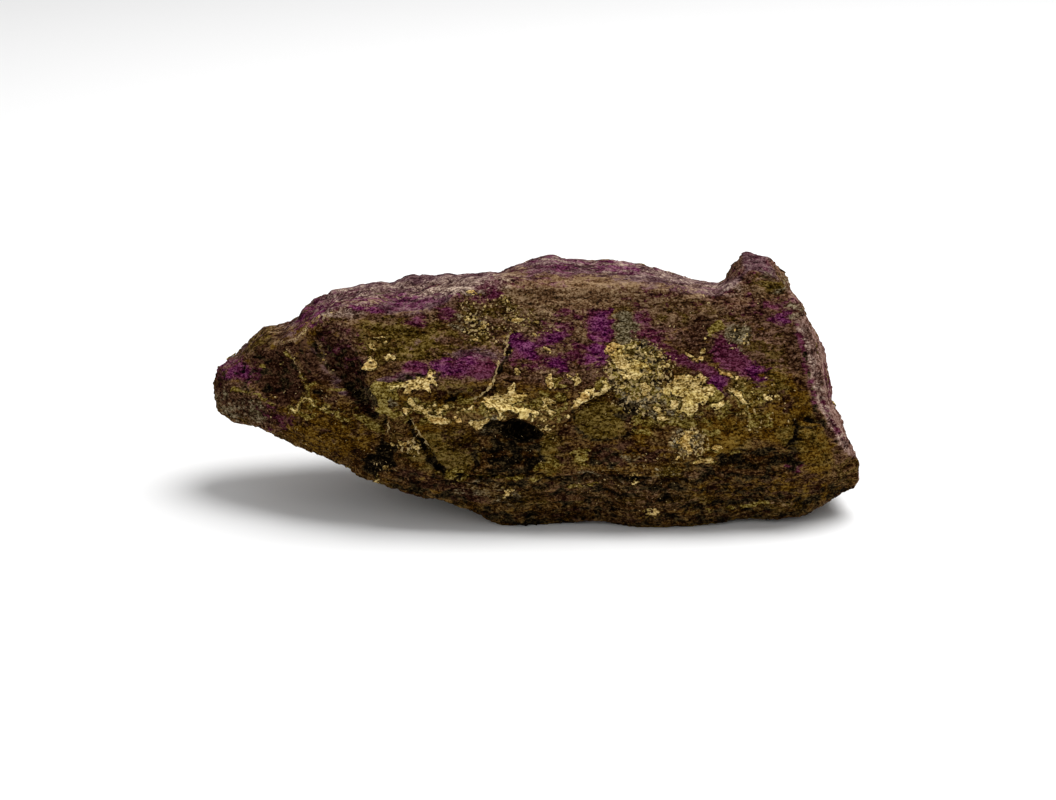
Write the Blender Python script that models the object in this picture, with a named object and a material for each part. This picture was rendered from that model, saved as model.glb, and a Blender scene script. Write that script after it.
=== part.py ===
"""A purpurite hand specimen: one rough, elongated stone that rests on its flat underside.

The stone is a loft between unlike sections. Eight edge lines run along it from the blunt left tip to the broken
right end, and every section joins the eight lines in turn. The broken surface is then laid on the loft: its own
unevenness first, and after that the ridges, ledges, cracks, lumps and hollows that have a place of their own.

Axes: +X along the stone from the tip to the broken end, +Y from the front to the back, +Z up.
Sizes below are in millimetres; the finished mesh is in metres.
"""

import math
from dataclasses import dataclass
from enum import Enum

import bmesh
import bpy
import numpy as np
from mathutils import Vector, noise

NODE = "purpurite_specimen"
MM = 0.001

# Edge lines, tip to broken end: (x, y, z) where each line bends
KEEL_FRONT = (
    (-65.0, 3.0, 16.8), (-63.5, 1.0, 15.4), (-57.5, -3.0, 15.2), (-52.5, -6.0, 14.4), (-45.0, -9.0, 12.0),
    (-38.0, -12.0, 10.0), (-30.5, -14.5, 7.2), (-25.0, -16.0, 6.0), (-16.5, -18.0, 4.8), (-9.5, -19.0, 1.6),
    (-4.5, -19.5, 0.0), (1.5, -19.0, 0.0), (12.5, -18.0, 1.2), (20.0, -20.0, 0.0), (35.5, -19.5, 0.0),
    (41.0, -17.5, 0.8), (47.0, -17.5, 0.4), (52.0, -17.0, 0.8), (55.0, -16.0, 2.0), (62.5, -12.0, 5.2),
)
BELLY = (
    (-65.5, 1.5, 20.0), (-63.0, -2.0, 19.0), (-57.5, -6.0, 19.0), (-52.0, -9.5, 19.0), (-44.5, -14.0, 17.6),
    (-37.5, -17.5, 16.0), (-30.5, -20.0, 13.5), (-24.5, -21.5, 12.2), (-9.0, -23.0, 12.0), (20.0, -23.5, 12.0),
    (40.0, -22.5, 12.0), (49.5, -21.0, 11.6), (55.0, -20.0, 12.4), (63.0, -15.5, 12.0),
)
WAIST = (
    (-65.5, 3.0, 22.2), (-62.5, -1.0, 22.6), (-57.0, -5.0, 23.2), (-52.0, -8.0, 23.4), (-45.0, -11.5, 23.4),
    (-39.0, -13.5, 23.8), (-31.0, -17.5, 24.6), (-24.5, -19.0, 25.4), (-9.0, -20.0, 26.0), (2.0, -19.5, 25.8),
    (20.0, -19.0, 26.0), (40.0, -18.5, 25.2), (49.5, -18.0, 24.8), (56.5, -16.0, 24.0),
)
BROW = (
    (-65.0, 5.0, 23.2), (-63.0, 4.0, 25.4), (-58.0, 2.0, 28.6), (-50.5, -2.0, 32.8), (-45.0, -5.0, 36.2),
    (-41.0, -6.0, 40.0), (-33.0, -6.5, 42.4), (-28.5, -9.0, 40.8), (-24.0, -9.5, 40.8), (-19.0, -9.0, 42.4),
    (-13.0, -8.0, 45.0), (-7.0, -8.0, 46.6), (3.0, -9.5, 46.2), (18.5, -10.0, 46.2), (30.0, -10.0, 45.2),
    (36.5, -10.0, 45.0), (38.5, -9.0, 45.8), (41.0, -6.5, 48.8), (45.5, -6.5, 48.4), (48.8, -8.5, 45.6),
    (50.5, -9.5, 43.4),
)
CREST = (
    (-65.0, 8.0, 23.2), (-63.5, 9.0, 25.4), (-58.5, 12.0, 28.6), (-54.0, 13.0, 31.4), (-51.0, 13.5, 32.0),
    (-46.5, 14.0, 36.0), (-39.0, 14.0, 39.8), (-31.5, 14.0, 41.0), (-28.5, 14.5, 40.6), (-26.0, 15.0, 42.2),
    (-9.5, 15.0, 42.6), (-5.0, 13.0, 44.6), (1.5, 12.0, 46.8), (10.0, 12.0, 45.4), (21.0, 12.0, 45.0),
    (31.0, 11.0, 41.6), (36.8, 10.0, 41.2), (38.8, 5.0, 44.8), (41.2, 3.0, 50.2), (43.4, 3.0, 50.0),
    (46.0, 3.5, 49.2), (49.5, 4.0, 46.0), (50.6, 5.5, 42.4), (53.2, 8.0, 37.2),
)
SHOULDER = (
    (-64.5, 10.0, 22.5), (-62.0, 13.5, 24.5), (-54.0, 17.5, 28.5), (-44.0, 19.0, 32.5), (-30.0, 20.0, 35.5),
    (-12.0, 20.5, 36.0), (2.0, 19.0, 39.0), (20.0, 18.5, 38.0), (36.0, 17.0, 35.0), (48.0, 15.0, 32.5),
    (56.4, 12.0, 29.6),
)
BACK = (
    (-65.0, 9.5, 20.0), (-62.0, 14.0, 20.0), (-54.0, 18.5, 20.5), (-42.0, 20.5, 19.0), (-26.0, 21.5, 18.5),
    (-8.0, 20.5, 19.0), (10.0, 21.5, 20.0), (30.0, 20.5, 18.5), (48.0, 18.0, 18.5), (60.2, 13.0, 19.0),
)
KEEL_BACK = (
    (-65.0, 7.0, 17.0), (-62.0, 9.0, 15.2), (-54.0, 12.0, 13.5), (-42.0, 13.5, 10.5), (-30.0, 15.0, 7.0),
    (-20.0, 15.5, 3.5), (-14.0, 14.5, 0.6), (-6.0, 16.0, 0.0), (22.0, 14.0, 0.0), (44.0, 13.5, 0.4),
    (55.0, 11.5, 3.0), (60.4, 8.5, 6.0),
)
EDGE_LINES = (KEEL_FRONT, BELLY, WAIST, BROW, CREST, SHOULDER, BACK, KEEL_BACK)

# Fineness of the loft before it is thinned, and the triangles that stay
STATIONS = 190
POINTS_PER_SPAN = (22, 22, 30, 26, 16, 22, 26, 22)
CAP_RINGS = 18
TRIANGLES = 9000
LEVEL_BELOW = 0.06

# How far the two ends bulge, and how the loft's corners are rounded
TIP_BULGE = 1.2
END_BULGE = 0.4
EDGE_ROUNDING = 5
RING_EASING = 0.2

# Unevenness of the broken surface: height, length along the stone, length across it, start of the pattern
SKIN = 0.45
LUMPS = (1.0, 20.0, 12.0, 0.0)
GRAIN = (0.45, 14.0, 4.0, 7.0)
CHIPS = (0.6, 16.0, 5.5, 3.0)
CHIP_RIM = 0.3
CHIP_VARIETY = 10.0
FINER_BY = 2.0
OCTAVES = 2
FADE = 1.0

# How far and how often the rims of the forms wander, and how much their height varies
WANDER = (0.8, 4.0)
WANDER_SEED = 4
SWAY = (0.6, 4.5)

# Finish: brown, slightly purple rough stone
STONE_COLOUR = (0.09, 0.045, 0.04, 1.0)
STONE_ROUGHNESS = 0.75

# A form fades out where the surface turns away from its side
NEAR_EDGE_ON = 0.1
WELL_FACING = 0.45


class Side(Enum):
    """A side of the stone: the axes of its drawing plane, the axis that it faces, and which way."""

    FRONT = (0, 2, 1, -1)
    BACK = (0, 2, 1, 1)
    TOP = (0, 1, 2, 1)
    UNDER = (0, 1, 2, -1)
    END = (1, 2, 0, 1)


def ease(t):
    """Smooth step from 0 to 1."""
    t = np.clip(t, 0.0, 1.0)
    return t * t * (3 - 2 * t)


@dataclass(frozen=True)
class Crease:
    """A line that stands up (height over 0) or is sunk, and fades out over one width on each hand.

    Left and right are those of a walk along the path, on the drawing plane with its second axis up.
    """

    side: Side
    path: tuple
    height: float
    left: float
    right: float

    def moves(self, flat):
        """Height at every point of the drawing plane."""
        best = np.full(len(flat), np.inf)
        hand = np.zeros(len(flat))
        for start, end in zip(self.path, self.path[1:]):
            start = np.array(start)
            run = np.array(end) - start
            away = flat - start
            share = np.clip(away @ run / (run @ run), 0.0, 1.0)
            distance = np.linalg.norm(away - share[:, None] * run, axis=1)
            turn = run[0] * away[:, 1] - run[1] * away[:, 0]
            closer = distance < best
            best = np.where(closer, distance, best)
            hand = np.where(closer, turn, hand)
        width = np.where(hand > 0, self.left, self.right)
        return self.height * (1 - ease(best / width))


@dataclass(frozen=True)
class Patch:
    """A round lump (height over 0) or hollow, level in the middle and soft at its rim."""

    side: Side
    centre: tuple
    radii: tuple
    height: float
    soft: float

    def moves(self, flat):
        """Height at every point of the drawing plane."""
        reach = np.linalg.norm((flat - np.array(self.centre)) / np.array(self.radii), axis=1)
        return self.height * (1 - ease((reach - (1 - self.soft)) / self.soft))


# Front: paths and centres are (x, z)
FRONT_FORMS = (
    Crease(Side.FRONT, ((-45.5, 35.5), (-41.5, 32.0), (-37.5, 28.0), (-33.5, 25.0), (-30.0, 21.0), (-29.5, 16.5)),
           -1.8, 3.0, 4.5),
    Crease(Side.FRONT, ((-41.0, 39.5), (-37.5, 37.0), (-35.5, 33.5), (-33.5, 30.5), (-32.0, 27.0), (-30.0, 23.0)),
           1.2, 6.0, 2.0),
    Crease(Side.FRONT, ((-50.5, 33.5), (-45.0, 36.0), (-43.0, 38.0), (-38.0, 40.5), (-33.0, 42.0)), 0.6, 2.0, 2.5),
    Crease(Side.FRONT, ((-49.5, 31.5), (-47.0, 28.5), (-43.5, 25.0)), 0.6, 1.5, 2.5),
    Crease(Side.FRONT, ((-25.0, 22.0), (-23.5, 20.0), (-22.0, 17.5), (-20.5, 14.5), (-18.5, 12.5)), -1.1, 0.9, 1.2),
    Crease(Side.FRONT, ((-30.0, 23.0), (-30.0, 18.8)), -0.7, 0.9, 0.9),
    Crease(Side.FRONT, ((-16.0, 22.5), (-11.0, 23.3), (-6.0, 23.6), (-2.0, 23.0), (2.5, 20.3)), 1.0, 3.5, 0.9),
    Crease(Side.FRONT, ((-20.0, 27.0), (-17.0, 26.6), (-12.0, 27.2)), -0.9, 0.9, 1.6),
    Crease(Side.FRONT, ((-12.0, 26.8), (-9.0, 28.6), (-7.8, 30.8), (-6.7, 34.0), (-5.3, 37.7)), -0.6, 0.7, 1.6),
    Crease(Side.FRONT, ((5.0, 23.0), (8.0, 26.5), (10.5, 27.3), (13.7, 29.2), (16.5, 29.3)), 0.7, 1.5, 1.0),
    Crease(Side.FRONT, ((25.0, 34.8), (31.5, 31.3), (37.7, 26.7)), -0.5, 1.5, 1.5),
    Crease(Side.FRONT, ((31.5, 16.0), (39.0, 16.8), (45.0, 17.5), (50.7, 16.8)), 0.9, 3.5, 0.9),
    Crease(Side.FRONT, ((-26.7, 12.9), (-13.0, 11.3), (0.0, 12.4), (12.0, 13.2), (24.0, 11.7), (51.0, 10.6)),
           0.6, 2.5, 1.2),
    Crease(Side.FRONT, ((-13.0, 6.8), (0.5, 6.2), (16.0, 7.3), (31.8, 5.7), (47.7, 5.4)), 0.5, 2.0, 1.0),
    Crease(Side.FRONT, ((61.0, 14.0), (58.2, 19.0), (54.7, 29.0), (53.5, 34.5), (51.0, 40.0)), 0.5, 2.0, 1.5),
    Patch(Side.FRONT, (-2.4, 20.9), (4.2, 1.9), -3.6, 0.5),
    Patch(Side.FRONT, (-4.9, 17.2), (7.0, 5.0), -0.9, 0.5),
    Patch(Side.FRONT, (-13.5, 31.4), (6.6, 3.4), 0.9, 0.6),
    Patch(Side.FRONT, (-26.2, 27.2), (6.2, 2.4), 0.6, 0.3),
    Patch(Side.FRONT, (12.0, 21.3), (5.2, 2.6), 0.9, 0.6),
    Patch(Side.FRONT, (8.9, 15.1), (1.8, 1.8), 0.7, 0.7),
    Patch(Side.FRONT, (30.0, 27.5), (4.4, 3.4), 0.5, 0.3),
    Patch(Side.FRONT, (35.7, 19.4), (6.0, 3.0), 0.7, 0.7),
    Patch(Side.FRONT, (52.3, 21.3), (2.2, 0.9), -0.9, 0.6),
    Patch(Side.FRONT, (-30.8, 14.2), (3.1, 3.4), -1.0, 0.5),
    Patch(Side.FRONT, (43.5, 14.5), (7.0, 1.6), -0.7, 0.6),
)
# Top: paths and centres are (x, y)
TOP_FORMS = (
    Crease(Side.TOP, ((0.0, -3.0), (18.0, -1.5), (34.0, -3.5)), 0.5, 1.2, 2.0),
    Crease(Side.TOP, ((-4.0, 4.0), (14.0, 4.5), (32.0, 3.0)), 0.5, 1.0, 2.5),
    Crease(Side.TOP, ((-38.0, 1.0), (-24.0, 3.0), (-12.0, 4.0)), 0.5, 1.0, 2.5),
    Crease(Side.TOP, ((-36.0, 8.0), (-20.0, 9.5), (-6.0, 9.0)), 0.5, 1.0, 2.0),
    Patch(Side.TOP, (-20.0, -2.0), (9.0, 4.0), -0.6, 0.7),
)
# Broken end: paths and centres are (y, z)
END_FORMS = (
    Crease(Side.END, ((-9.0, 38.0), (-11.5, 26.0), (-12.0, 14.0)), 0.5, 1.0, 1.8),
    Crease(Side.END, ((-2.0, 40.0), (-4.0, 26.0), (-6.0, 10.0)), 0.5, 1.2, 2.5),
    Crease(Side.END, ((4.0, 35.0), (4.5, 22.0), (3.0, 9.0)), -0.6, 1.5, 1.5),
    Patch(Side.END, (1.0, 20.0), (8.0, 11.0), -0.9, 0.8),
    Patch(Side.END, (8.0, 27.0), (4.0, 5.0), 0.7, 0.7),
)
# Back: paths and centres are (x, z)
BACK_FORMS = (
    Crease(Side.BACK, ((34.0, 26.0), (8.0, 28.5), (-16.0, 25.5), (-40.0, 27.0)), 0.9, 1.2, 4.0),
    Crease(Side.BACK, ((42.0, 11.0), (18.0, 13.0), (-6.0, 10.5), (-30.0, 13.0)), 0.7, 1.0, 3.5),
    Crease(Side.BACK, ((-2.0, 38.0), (3.0, 31.0), (1.0, 22.0), (6.0, 14.0)), -0.9, 1.0, 1.4),
    Patch(Side.BACK, (22.0, 31.5), (7.0, 4.0), -1.2, 0.6),
    Patch(Side.BACK, (-18.0, 30.5), (8.0, 4.0), 0.9, 0.7),
    Patch(Side.BACK, (45.0, 21.0), (7.0, 7.0), -1.3, 0.4),
    Patch(Side.BACK, (-46.0, 23.0), (6.0, 5.0), -0.9, 0.5),
)
# Underside: paths and centres are (x, y)
UNDER_FORMS = (
    Crease(Side.UNDER, ((-50.0, 2.0), (-35.0, 0.0), (-18.0, 3.0)), 0.7, 1.2, 3.0),
    Patch(Side.UNDER, (-28.0, 6.0), (7.0, 4.5), -0.9, 0.6),
    Patch(Side.UNDER, (19.0, -2.0), (32.0, 16.0), 1.2, 0.4),
)
FORMS = FRONT_FORMS + TOP_FORMS + END_FORMS + BACK_FORMS + UNDER_FORMS


def remove_scene_objects():
    """Empties the scene."""
    for thing in list(bpy.data.objects):
        bpy.data.objects.remove(thing, do_unlink=True)


def along_line(line, count):
    """Points spread evenly along X over one edge line."""
    bends = np.array(line)
    x = np.linspace(bends[0, 0], bends[-1, 0], count)
    y = np.interp(x, bends[:, 0], bends[:, 1])
    z = np.interp(x, bends[:, 0], bends[:, 2])
    return np.stack([x, y, z], axis=1)


def round_edges(rings):
    """Rounds the corners of every ring and eases each ring towards its neighbours."""
    for _ in range(EDGE_ROUNDING):
        around = (np.roll(rings, 1, axis=1) + np.roll(rings, -1, axis=1)) / 2
        rings = (rings + around) / 2
        middle = (rings[:-2] + rings[2:]) / 2
        rings[1:-1] += RING_EASING * (middle - rings[1:-1])
    return rings


def loft_rings():
    """Rings of points, one for each station along the stone."""
    lines = [along_line(line, STATIONS) for line in EDGE_LINES]
    rings = []
    for start, end, count in zip(lines, lines[1:] + lines[:1], POINTS_PER_SPAN):
        for step in range(count):
            rings.append(start + (end - start) * step / count)
    return round_edges(np.stack(rings, axis=1))


def cap_rings(ring, bulge):
    """Smaller and smaller rings that close an end, with the centre point pushed out along X by bulge."""
    centre = ring.mean(axis=0)
    rings = []
    for step in range(1, CAP_RINGS):
        shrink = 1 - step / CAP_RINGS
        smaller = centre + (ring - centre) * shrink
        smaller[:, 0] += bulge * math.sin(math.pi / 2 * (1 - shrink))
        rings.append(smaller)
    return rings, centre + np.array([bulge, 0.0, 0.0])


def build_loft():
    """The closed loft as a bmesh, its faces pointing out."""
    rings = loft_rings()
    left, left_centre = cap_rings(rings[0], -TIP_BULGE)
    right, right_centre = cap_rings(rings[-1], END_BULGE)
    loft = bmesh.new()
    rows = [[loft.verts.new(point) for point in ring] for ring in left[::-1] + list(rings) + right]
    around = len(rows[0])
    for near, far in zip(rows, rows[1:]):
        for i in range(around):
            j = (i + 1) % around
            loft.faces.new((near[i], near[j], far[j], far[i]))
    for row, centre in ((rows[0], left_centre), (rows[-1], right_centre)):
        point = loft.verts.new(centre)
        for i in range(around):
            loft.faces.new((row[i], row[(i + 1) % around], point))
    bmesh.ops.recalc_face_normals(loft, faces=loft.faces[:])
    loft.normal_update()
    return loft


def pattern_place(point, pattern):
    """A point of the stone in the units of a pattern, whose marks are longer along the stone than across it."""
    _, along, across, start = pattern
    x, y, z = point
    return Vector((x / along + start, y / across, z / across))


def swell(point, pattern):
    """Height of a soft, rolling pattern at one point."""
    return pattern[0] * noise.fractal(pattern_place(point, pattern), FADE, FINER_BY, OCTAVES)


def chips(point):
    """Height of the flat chips at one point: each one is tilted its own way and dies out at its rim."""
    place = pattern_place(point, CHIPS)
    distances, middles = noise.voronoi(place)
    tilt = noise.cell_vector(middles[0] * CHIP_VARIETY)
    rim = float(ease((distances[1] - distances[0]) / CHIP_RIM))
    return CHIPS[0] * rim * tilt.dot(place - middles[0])


def unevenness(point):
    """Height of the broken surface over the loft at one point."""
    return SKIN + swell(point, LUMPS) + swell(point, GRAIN) + chips(point)


def wandered(points):
    """The points shifted a little, so that the rims of the forms wander."""
    noise.seed_set(WANDER_SEED)
    reach, size = WANDER
    shifts = [noise.noise_vector(Vector(point) / size) * reach for point in points]
    return points + np.array(shifts)


def form_moves(points, normals):
    """Height that all the forms together give at every point."""
    total = np.zeros(len(points))
    amount, size = SWAY
    sway = np.array([1 + amount * noise.noise(Vector(point) / size) for point in points])
    drawn = wandered(points)
    for form in FORMS:
        first, second, axis, way = form.side.value
        facing = ease((normals[:, axis] * way - NEAR_EDGE_ON) / (WELL_FACING - NEAR_EDGE_ON))
        total += facing * form.moves(drawn[:, (first, second)])
    return total * sway


def break_surface(loft):
    """Moves every vertex out along its normal, and levels what would go under the floor."""
    points = np.array([vertex.co for vertex in loft.verts])
    normals = np.array([vertex.normal for vertex in loft.verts])
    heights = form_moves(points, normals) + np.array([unevenness(point) for point in points])
    points = points + normals * heights[:, None]
    points[:, 2] = np.maximum(points[:, 2], 0.0)
    centre = (points.min(axis=0) + points.max(axis=0)) / 2
    for vertex, (x, y, z) in zip(loft.verts, points):
        vertex.co = (x - centre[0], y - centre[1], z)


def stone_material():
    """The stone's finish."""
    material = bpy.data.materials.new("purple_brown_stone")
    material.use_nodes = True
    shader = material.node_tree.nodes["Principled BSDF"]
    shader.inputs["Base Color"].default_value = STONE_COLOUR
    shader.inputs["Roughness"].default_value = STONE_ROUGHNESS
    shader.inputs["Metallic"].default_value = 0.0
    return material


def thinned(stone):
    """A mesh of the stone with few triangles, its underside exactly level."""
    thin = stone.modifiers.new("thin", "DECIMATE")
    thin.ratio = TRIANGLES / len(stone.data.polygons)
    evaluated = stone.evaluated_get(bpy.context.evaluated_depsgraph_get())
    mesh = bpy.data.meshes.new_from_object(evaluated)
    stone.modifiers.remove(thin)
    for vertex in mesh.vertices:
        if vertex.co.z < LEVEL_BELOW * MM:
            vertex.co.z = 0.0
    return mesh


def build_stone(collection):
    """Builds the stone in metres and puts it in the collection."""
    loft = build_loft()
    break_surface(loft)
    bmesh.ops.scale(loft, vec=(MM, MM, MM), verts=loft.verts[:])
    bmesh.ops.triangulate(loft, faces=loft.faces[:])
    mesh = bpy.data.meshes.new(NODE)
    loft.to_mesh(mesh)
    loft.free()
    mesh.materials.append(stone_material())
    stone = bpy.data.objects.new(NODE, mesh)
    collection.objects.link(stone)
    stone.data = thinned(stone)
    bpy.data.meshes.remove(mesh)


def main():
    """Builds the specimen in a collection of its own."""
    remove_scene_objects()
    collection = bpy.data.collections.new(NODE)
    bpy.context.scene.collection.children.link(collection)
    build_stone(collection)


main()
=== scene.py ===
"""Looks of a purpurite hand specimen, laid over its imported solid.

The stone's surface is a fine copy of the solid with its own broken relief. The marks and creases that the
photograph shows on the front are drawn where the photograph has them. The sides that it doesn't show carry
marks of the same kinds, made by noise. Plates of pale crust, chips and crumbs lie on the surface as real
shapes.

Lengths are in millimetres unless a comment says otherwise, and meshes are in metres.
"""

import logging
import math
from dataclasses import dataclass, field
from enum import Enum

import bmesh
import bpy
import numpy as np
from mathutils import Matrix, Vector, noise


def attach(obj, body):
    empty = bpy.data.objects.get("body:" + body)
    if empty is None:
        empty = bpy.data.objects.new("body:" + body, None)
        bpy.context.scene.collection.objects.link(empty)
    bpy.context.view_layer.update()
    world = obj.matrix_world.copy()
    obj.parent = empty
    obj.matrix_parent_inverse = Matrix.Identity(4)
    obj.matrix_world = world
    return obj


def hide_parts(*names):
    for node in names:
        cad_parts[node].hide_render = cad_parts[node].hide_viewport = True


LOG = logging.getLogger("purpurite")
MM = 0.001
NODE = "purpurite_specimen"
BODY = "root"

Span = tuple[float, float]
Path = tuple[Span, ...]
Size = tuple[float, float, float]
Colour = tuple[int, int, int]
Socket = bpy.types.NodeSocket
Outputs = bpy.types.NodeOutputs
Value = Socket | float

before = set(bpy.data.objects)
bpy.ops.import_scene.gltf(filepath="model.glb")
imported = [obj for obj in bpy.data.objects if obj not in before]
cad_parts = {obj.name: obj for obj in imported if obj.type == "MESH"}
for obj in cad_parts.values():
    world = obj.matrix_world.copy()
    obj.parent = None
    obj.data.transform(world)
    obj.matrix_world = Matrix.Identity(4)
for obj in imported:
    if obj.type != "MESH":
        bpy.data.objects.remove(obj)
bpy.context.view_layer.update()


def ease(amount: np.ndarray) -> np.ndarray:
    """Smooth step from 0 to 1."""
    amount = np.clip(amount, 0.0, 1.0)
    return amount * amount * (3 - 2 * amount)


def linear(colour: Colour) -> tuple[float, float, float, float]:
    """Turns a display colour into the linear one that shaders take.

    Args:
        colour: Red, green and blue from 0 to 255.

    Returns:
        Linear red, green, blue, and an alpha of 1.
    """
    parts = []
    for part in colour:
        part /= 255
        parts.append(part / 12.92 if part <= 0.04045 else ((part + 0.055) / 1.055) ** 2.4)
    return (*parts, 1.0)


@dataclass(frozen=True)
class PhotoView:
    """The camera that sees the stone as the photograph does, and the way from a point to its pixel.

    Lengths are in metres. The picture is width by height pixels.
    """

    width: int = 1056
    height: int = 800
    lens_mm: float = 85.0
    sensor_mm: float = 36.0
    elevation: float = math.radians(18)
    distance: float = 0.503
    target: Size = (-0.0004, 0.0009, 0.0199)

    def place(self) -> Vector:
        """Where the camera stands."""
        back = Vector((0, -math.cos(self.elevation), math.sin(self.elevation)))
        return Vector(self.target) + self.distance * back

    def pixel_size(self) -> float:
        """Millimetres that one pixel covers at the stone's middle."""
        return self.distance / MM * self.sensor_mm / (self.width * self.lens_mm)

    def pixels(self, points: np.ndarray) -> np.ndarray:
        """Finds where points are seen.

        Args:
            points: Points in metres, one row each.

        Returns:
            Column and row of each point in the picture, from its upper left corner.
        """
        away = points - np.array(self.place())
        sine, cosine = math.sin(self.elevation), math.cos(self.elevation)
        ahead = away[:, 1] * cosine - away[:, 2] * sine
        up = away[:, 1] * sine + away[:, 2] * cosine
        focal = self.width * self.lens_mm / self.sensor_mm
        columns = self.width / 2 + focal * away[:, 0] / ahead
        rows = self.height / 2 - focal * up / ahead
        return np.stack([columns, rows], 1)

    def facing(self, points: np.ndarray, normals: np.ndarray) -> np.ndarray:
        """How squarely the surface faces the camera, 1 for head-on and below 0 for turned away."""
        towards = np.array(self.place()) - points
        towards /= np.linalg.norm(towards, axis=1)[:, None]
        return np.sum(towards * normals, axis=1)

    def make_camera(self) -> None:
        """Puts the camera in the scene."""
        data = bpy.data.cameras.new("camera")
        data.lens = self.lens_mm
        data.sensor_width = self.sensor_mm
        camera = bpy.data.objects.new("camera", data)
        camera.location = self.place()
        camera.rotation_euler = (math.pi / 2 - self.elevation, 0, 0)
        bpy.context.scene.collection.objects.link(camera)
        bpy.context.scene.camera = camera


VIEW = PhotoView()


def side_distance(path: Path, pixels: np.ndarray) -> np.ndarray:
    """Distance of each pixel from a path, below 0 on the left hand of the path's direction in the picture."""
    nearest = np.full(len(pixels), np.inf)
    for start, end in zip(path, path[1:]):
        run = np.array(end, float) - np.array(start, float)
        away = pixels - np.array(start, float)
        share = np.clip(away @ run / (run @ run), 0.0, 1.0)
        distance = np.linalg.norm(away - share[:, None] * run, axis=1)
        side = np.where(run[0] * away[:, 1] - run[1] * away[:, 0] < 0, -1.0, 1.0)
        nearest = np.where(distance < np.abs(nearest), side * distance, nearest)
    return nearest


class Mark(Enum):
    """The kinds of mark, by the name of the surface attribute that holds each."""

    CREAM = "cream_crust"
    YELLOW = "yellow_crust"
    PURPLE = "purple_stone"
    # Black stain, and painted shade in the pit, cracks, slits and along the foot
    BLACK = "black_stain"
    GREY = "grey_green_stone"
    RUST = "rust_stain"
    OLIVE = "olive_stain"
    ROSE = "rose_stone"
    # Pale rose stone, and painted sheen on level tops and painted light on the broken end
    PALE = "pale_rose_stone"
    # Tan stone, and painted highlights along the tip's ridges
    TAN = "tan_stone"
    VIOLET = "violet_stone"
    # Dark stain and painted shade: shaded facets, the valley, under lumps and ledges, the bottom band and the
    # foot
    STAIN_AND_SHADE = "dark_stain"
    # Pale flecks, and painted highlights on crack lips and ridges
    FLECKS = "pale_flecks"


# How much of a mark's inside is covered, as a depth in millimetres that its inside doesn't go beyond
SOLID = 3.0
DENSE = 0.5
PATCHY = 0.0
SPARSE = -0.4
RARE = -0.7
OUTSIDE = -4.0


@dataclass(frozen=True)
class Blot:
    """An oval mark, placed by its pixel in the photograph, turned clockwise by turn degrees.

    The crisper it is, the less noise moves its edge.
    """

    name: str
    at: Span
    reach: Span
    fill: float = SOLID
    turn: float = 0.0
    crispness: float = 1.0

    def depth(self, pixels: np.ndarray) -> np.ndarray:
        """How far inside the mark's edge each pixel lies, in millimetres."""
        away = pixels - np.array(self.at)
        turn = math.radians(self.turn)
        along = away[:, 0] * math.cos(turn) + away[:, 1] * math.sin(turn)
        across = away[:, 1] * math.cos(turn) - away[:, 0] * math.sin(turn)
        share = np.hypot(along / self.reach[0], across / self.reach[1])
        return np.minimum((1 - share) * min(self.reach) * VIEW.pixel_size() * self.crispness, self.fill)


@dataclass(frozen=True)
class Trace:
    """A mark that follows a path of pixels, width pixels to each hand."""

    name: str
    path: Path
    width: float
    fill: float = SOLID
    crispness: float = 1.0

    def depth(self, pixels: np.ndarray) -> np.ndarray:
        """How far inside the mark's edge each pixel lies, in millimetres."""
        nearest = np.abs(side_distance(self.path, pixels))
        return np.minimum((self.width - nearest) * VIEW.pixel_size() * self.crispness, self.fill)


@dataclass(frozen=True)
class Patch:
    """A mark with a drawn outline of pixels. The crisper it is, the less noise moves its edge."""

    name: str
    outline: Path
    fill: float = SOLID
    crispness: float = 2.5
    margin: float = 30.0

    def depth(self, pixels: np.ndarray) -> np.ndarray:
        """How far inside the mark's edge each pixel lies, in millimetres.

        Args:
            pixels: Column and row of each point.

        Returns:
            The depths, which stay OUTSIDE further than the margin of pixels from the outline.
        """
        corners = np.array(self.outline, float)
        low, high = corners.min(axis=0) - self.margin, corners.max(axis=0) + self.margin
        near = np.all((pixels > low) & (pixels < high), axis=1)
        column, row = pixels[near].T
        closed = (*self.outline, self.outline[0])
        inside = np.zeros(len(row), bool)
        for (x0, y0), (x1, y1) in zip(closed, closed[1:]):
            if y0 != y1:
                crossed = (y0 > row) != (y1 > row)
                inside ^= crossed & (column < x0 + (row - y0) * (x1 - x0) / (y1 - y0))
        distance = np.abs(side_distance(closed, pixels[near])) * VIEW.pixel_size() * self.crispness
        depths = np.full(len(pixels), OUTSIDE)
        depths[near] = np.minimum(np.where(inside, distance, -distance), self.fill)
        return depths


@dataclass(frozen=True)
class Crease:
    """A ridge, groove or ledge that follows a path of pixels.

    The height is in millimetres, below 0 for a groove. It dies away over left pixels on the left of the
    path's direction and over right pixels on its right, so that unequal widths make a ledge.
    """

    name: str
    path: Path
    height: float
    left: float
    right: float

    def lift(self, pixels: np.ndarray) -> np.ndarray:
        """How far the crease lifts each pixel, in millimetres."""
        distance = side_distance(self.path, pixels)
        reach = np.where(distance < 0, self.left, self.right)
        return self.height * np.exp(-((distance / reach) ** 2))


@dataclass(frozen=True)
class Swell:
    """A low lump on the stone's outline, height millimetres tall, or a dent below 0, over reach pixels."""

    at: Span
    height: float
    reach: float

    def lift(self, pixels: np.ndarray) -> np.ndarray:
        """How far the lump lifts each pixel, in millimetres."""
        distance = np.linalg.norm(pixels - np.array(self.at), axis=1)
        return self.height * np.exp(-((distance / self.reach) ** 2))


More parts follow.
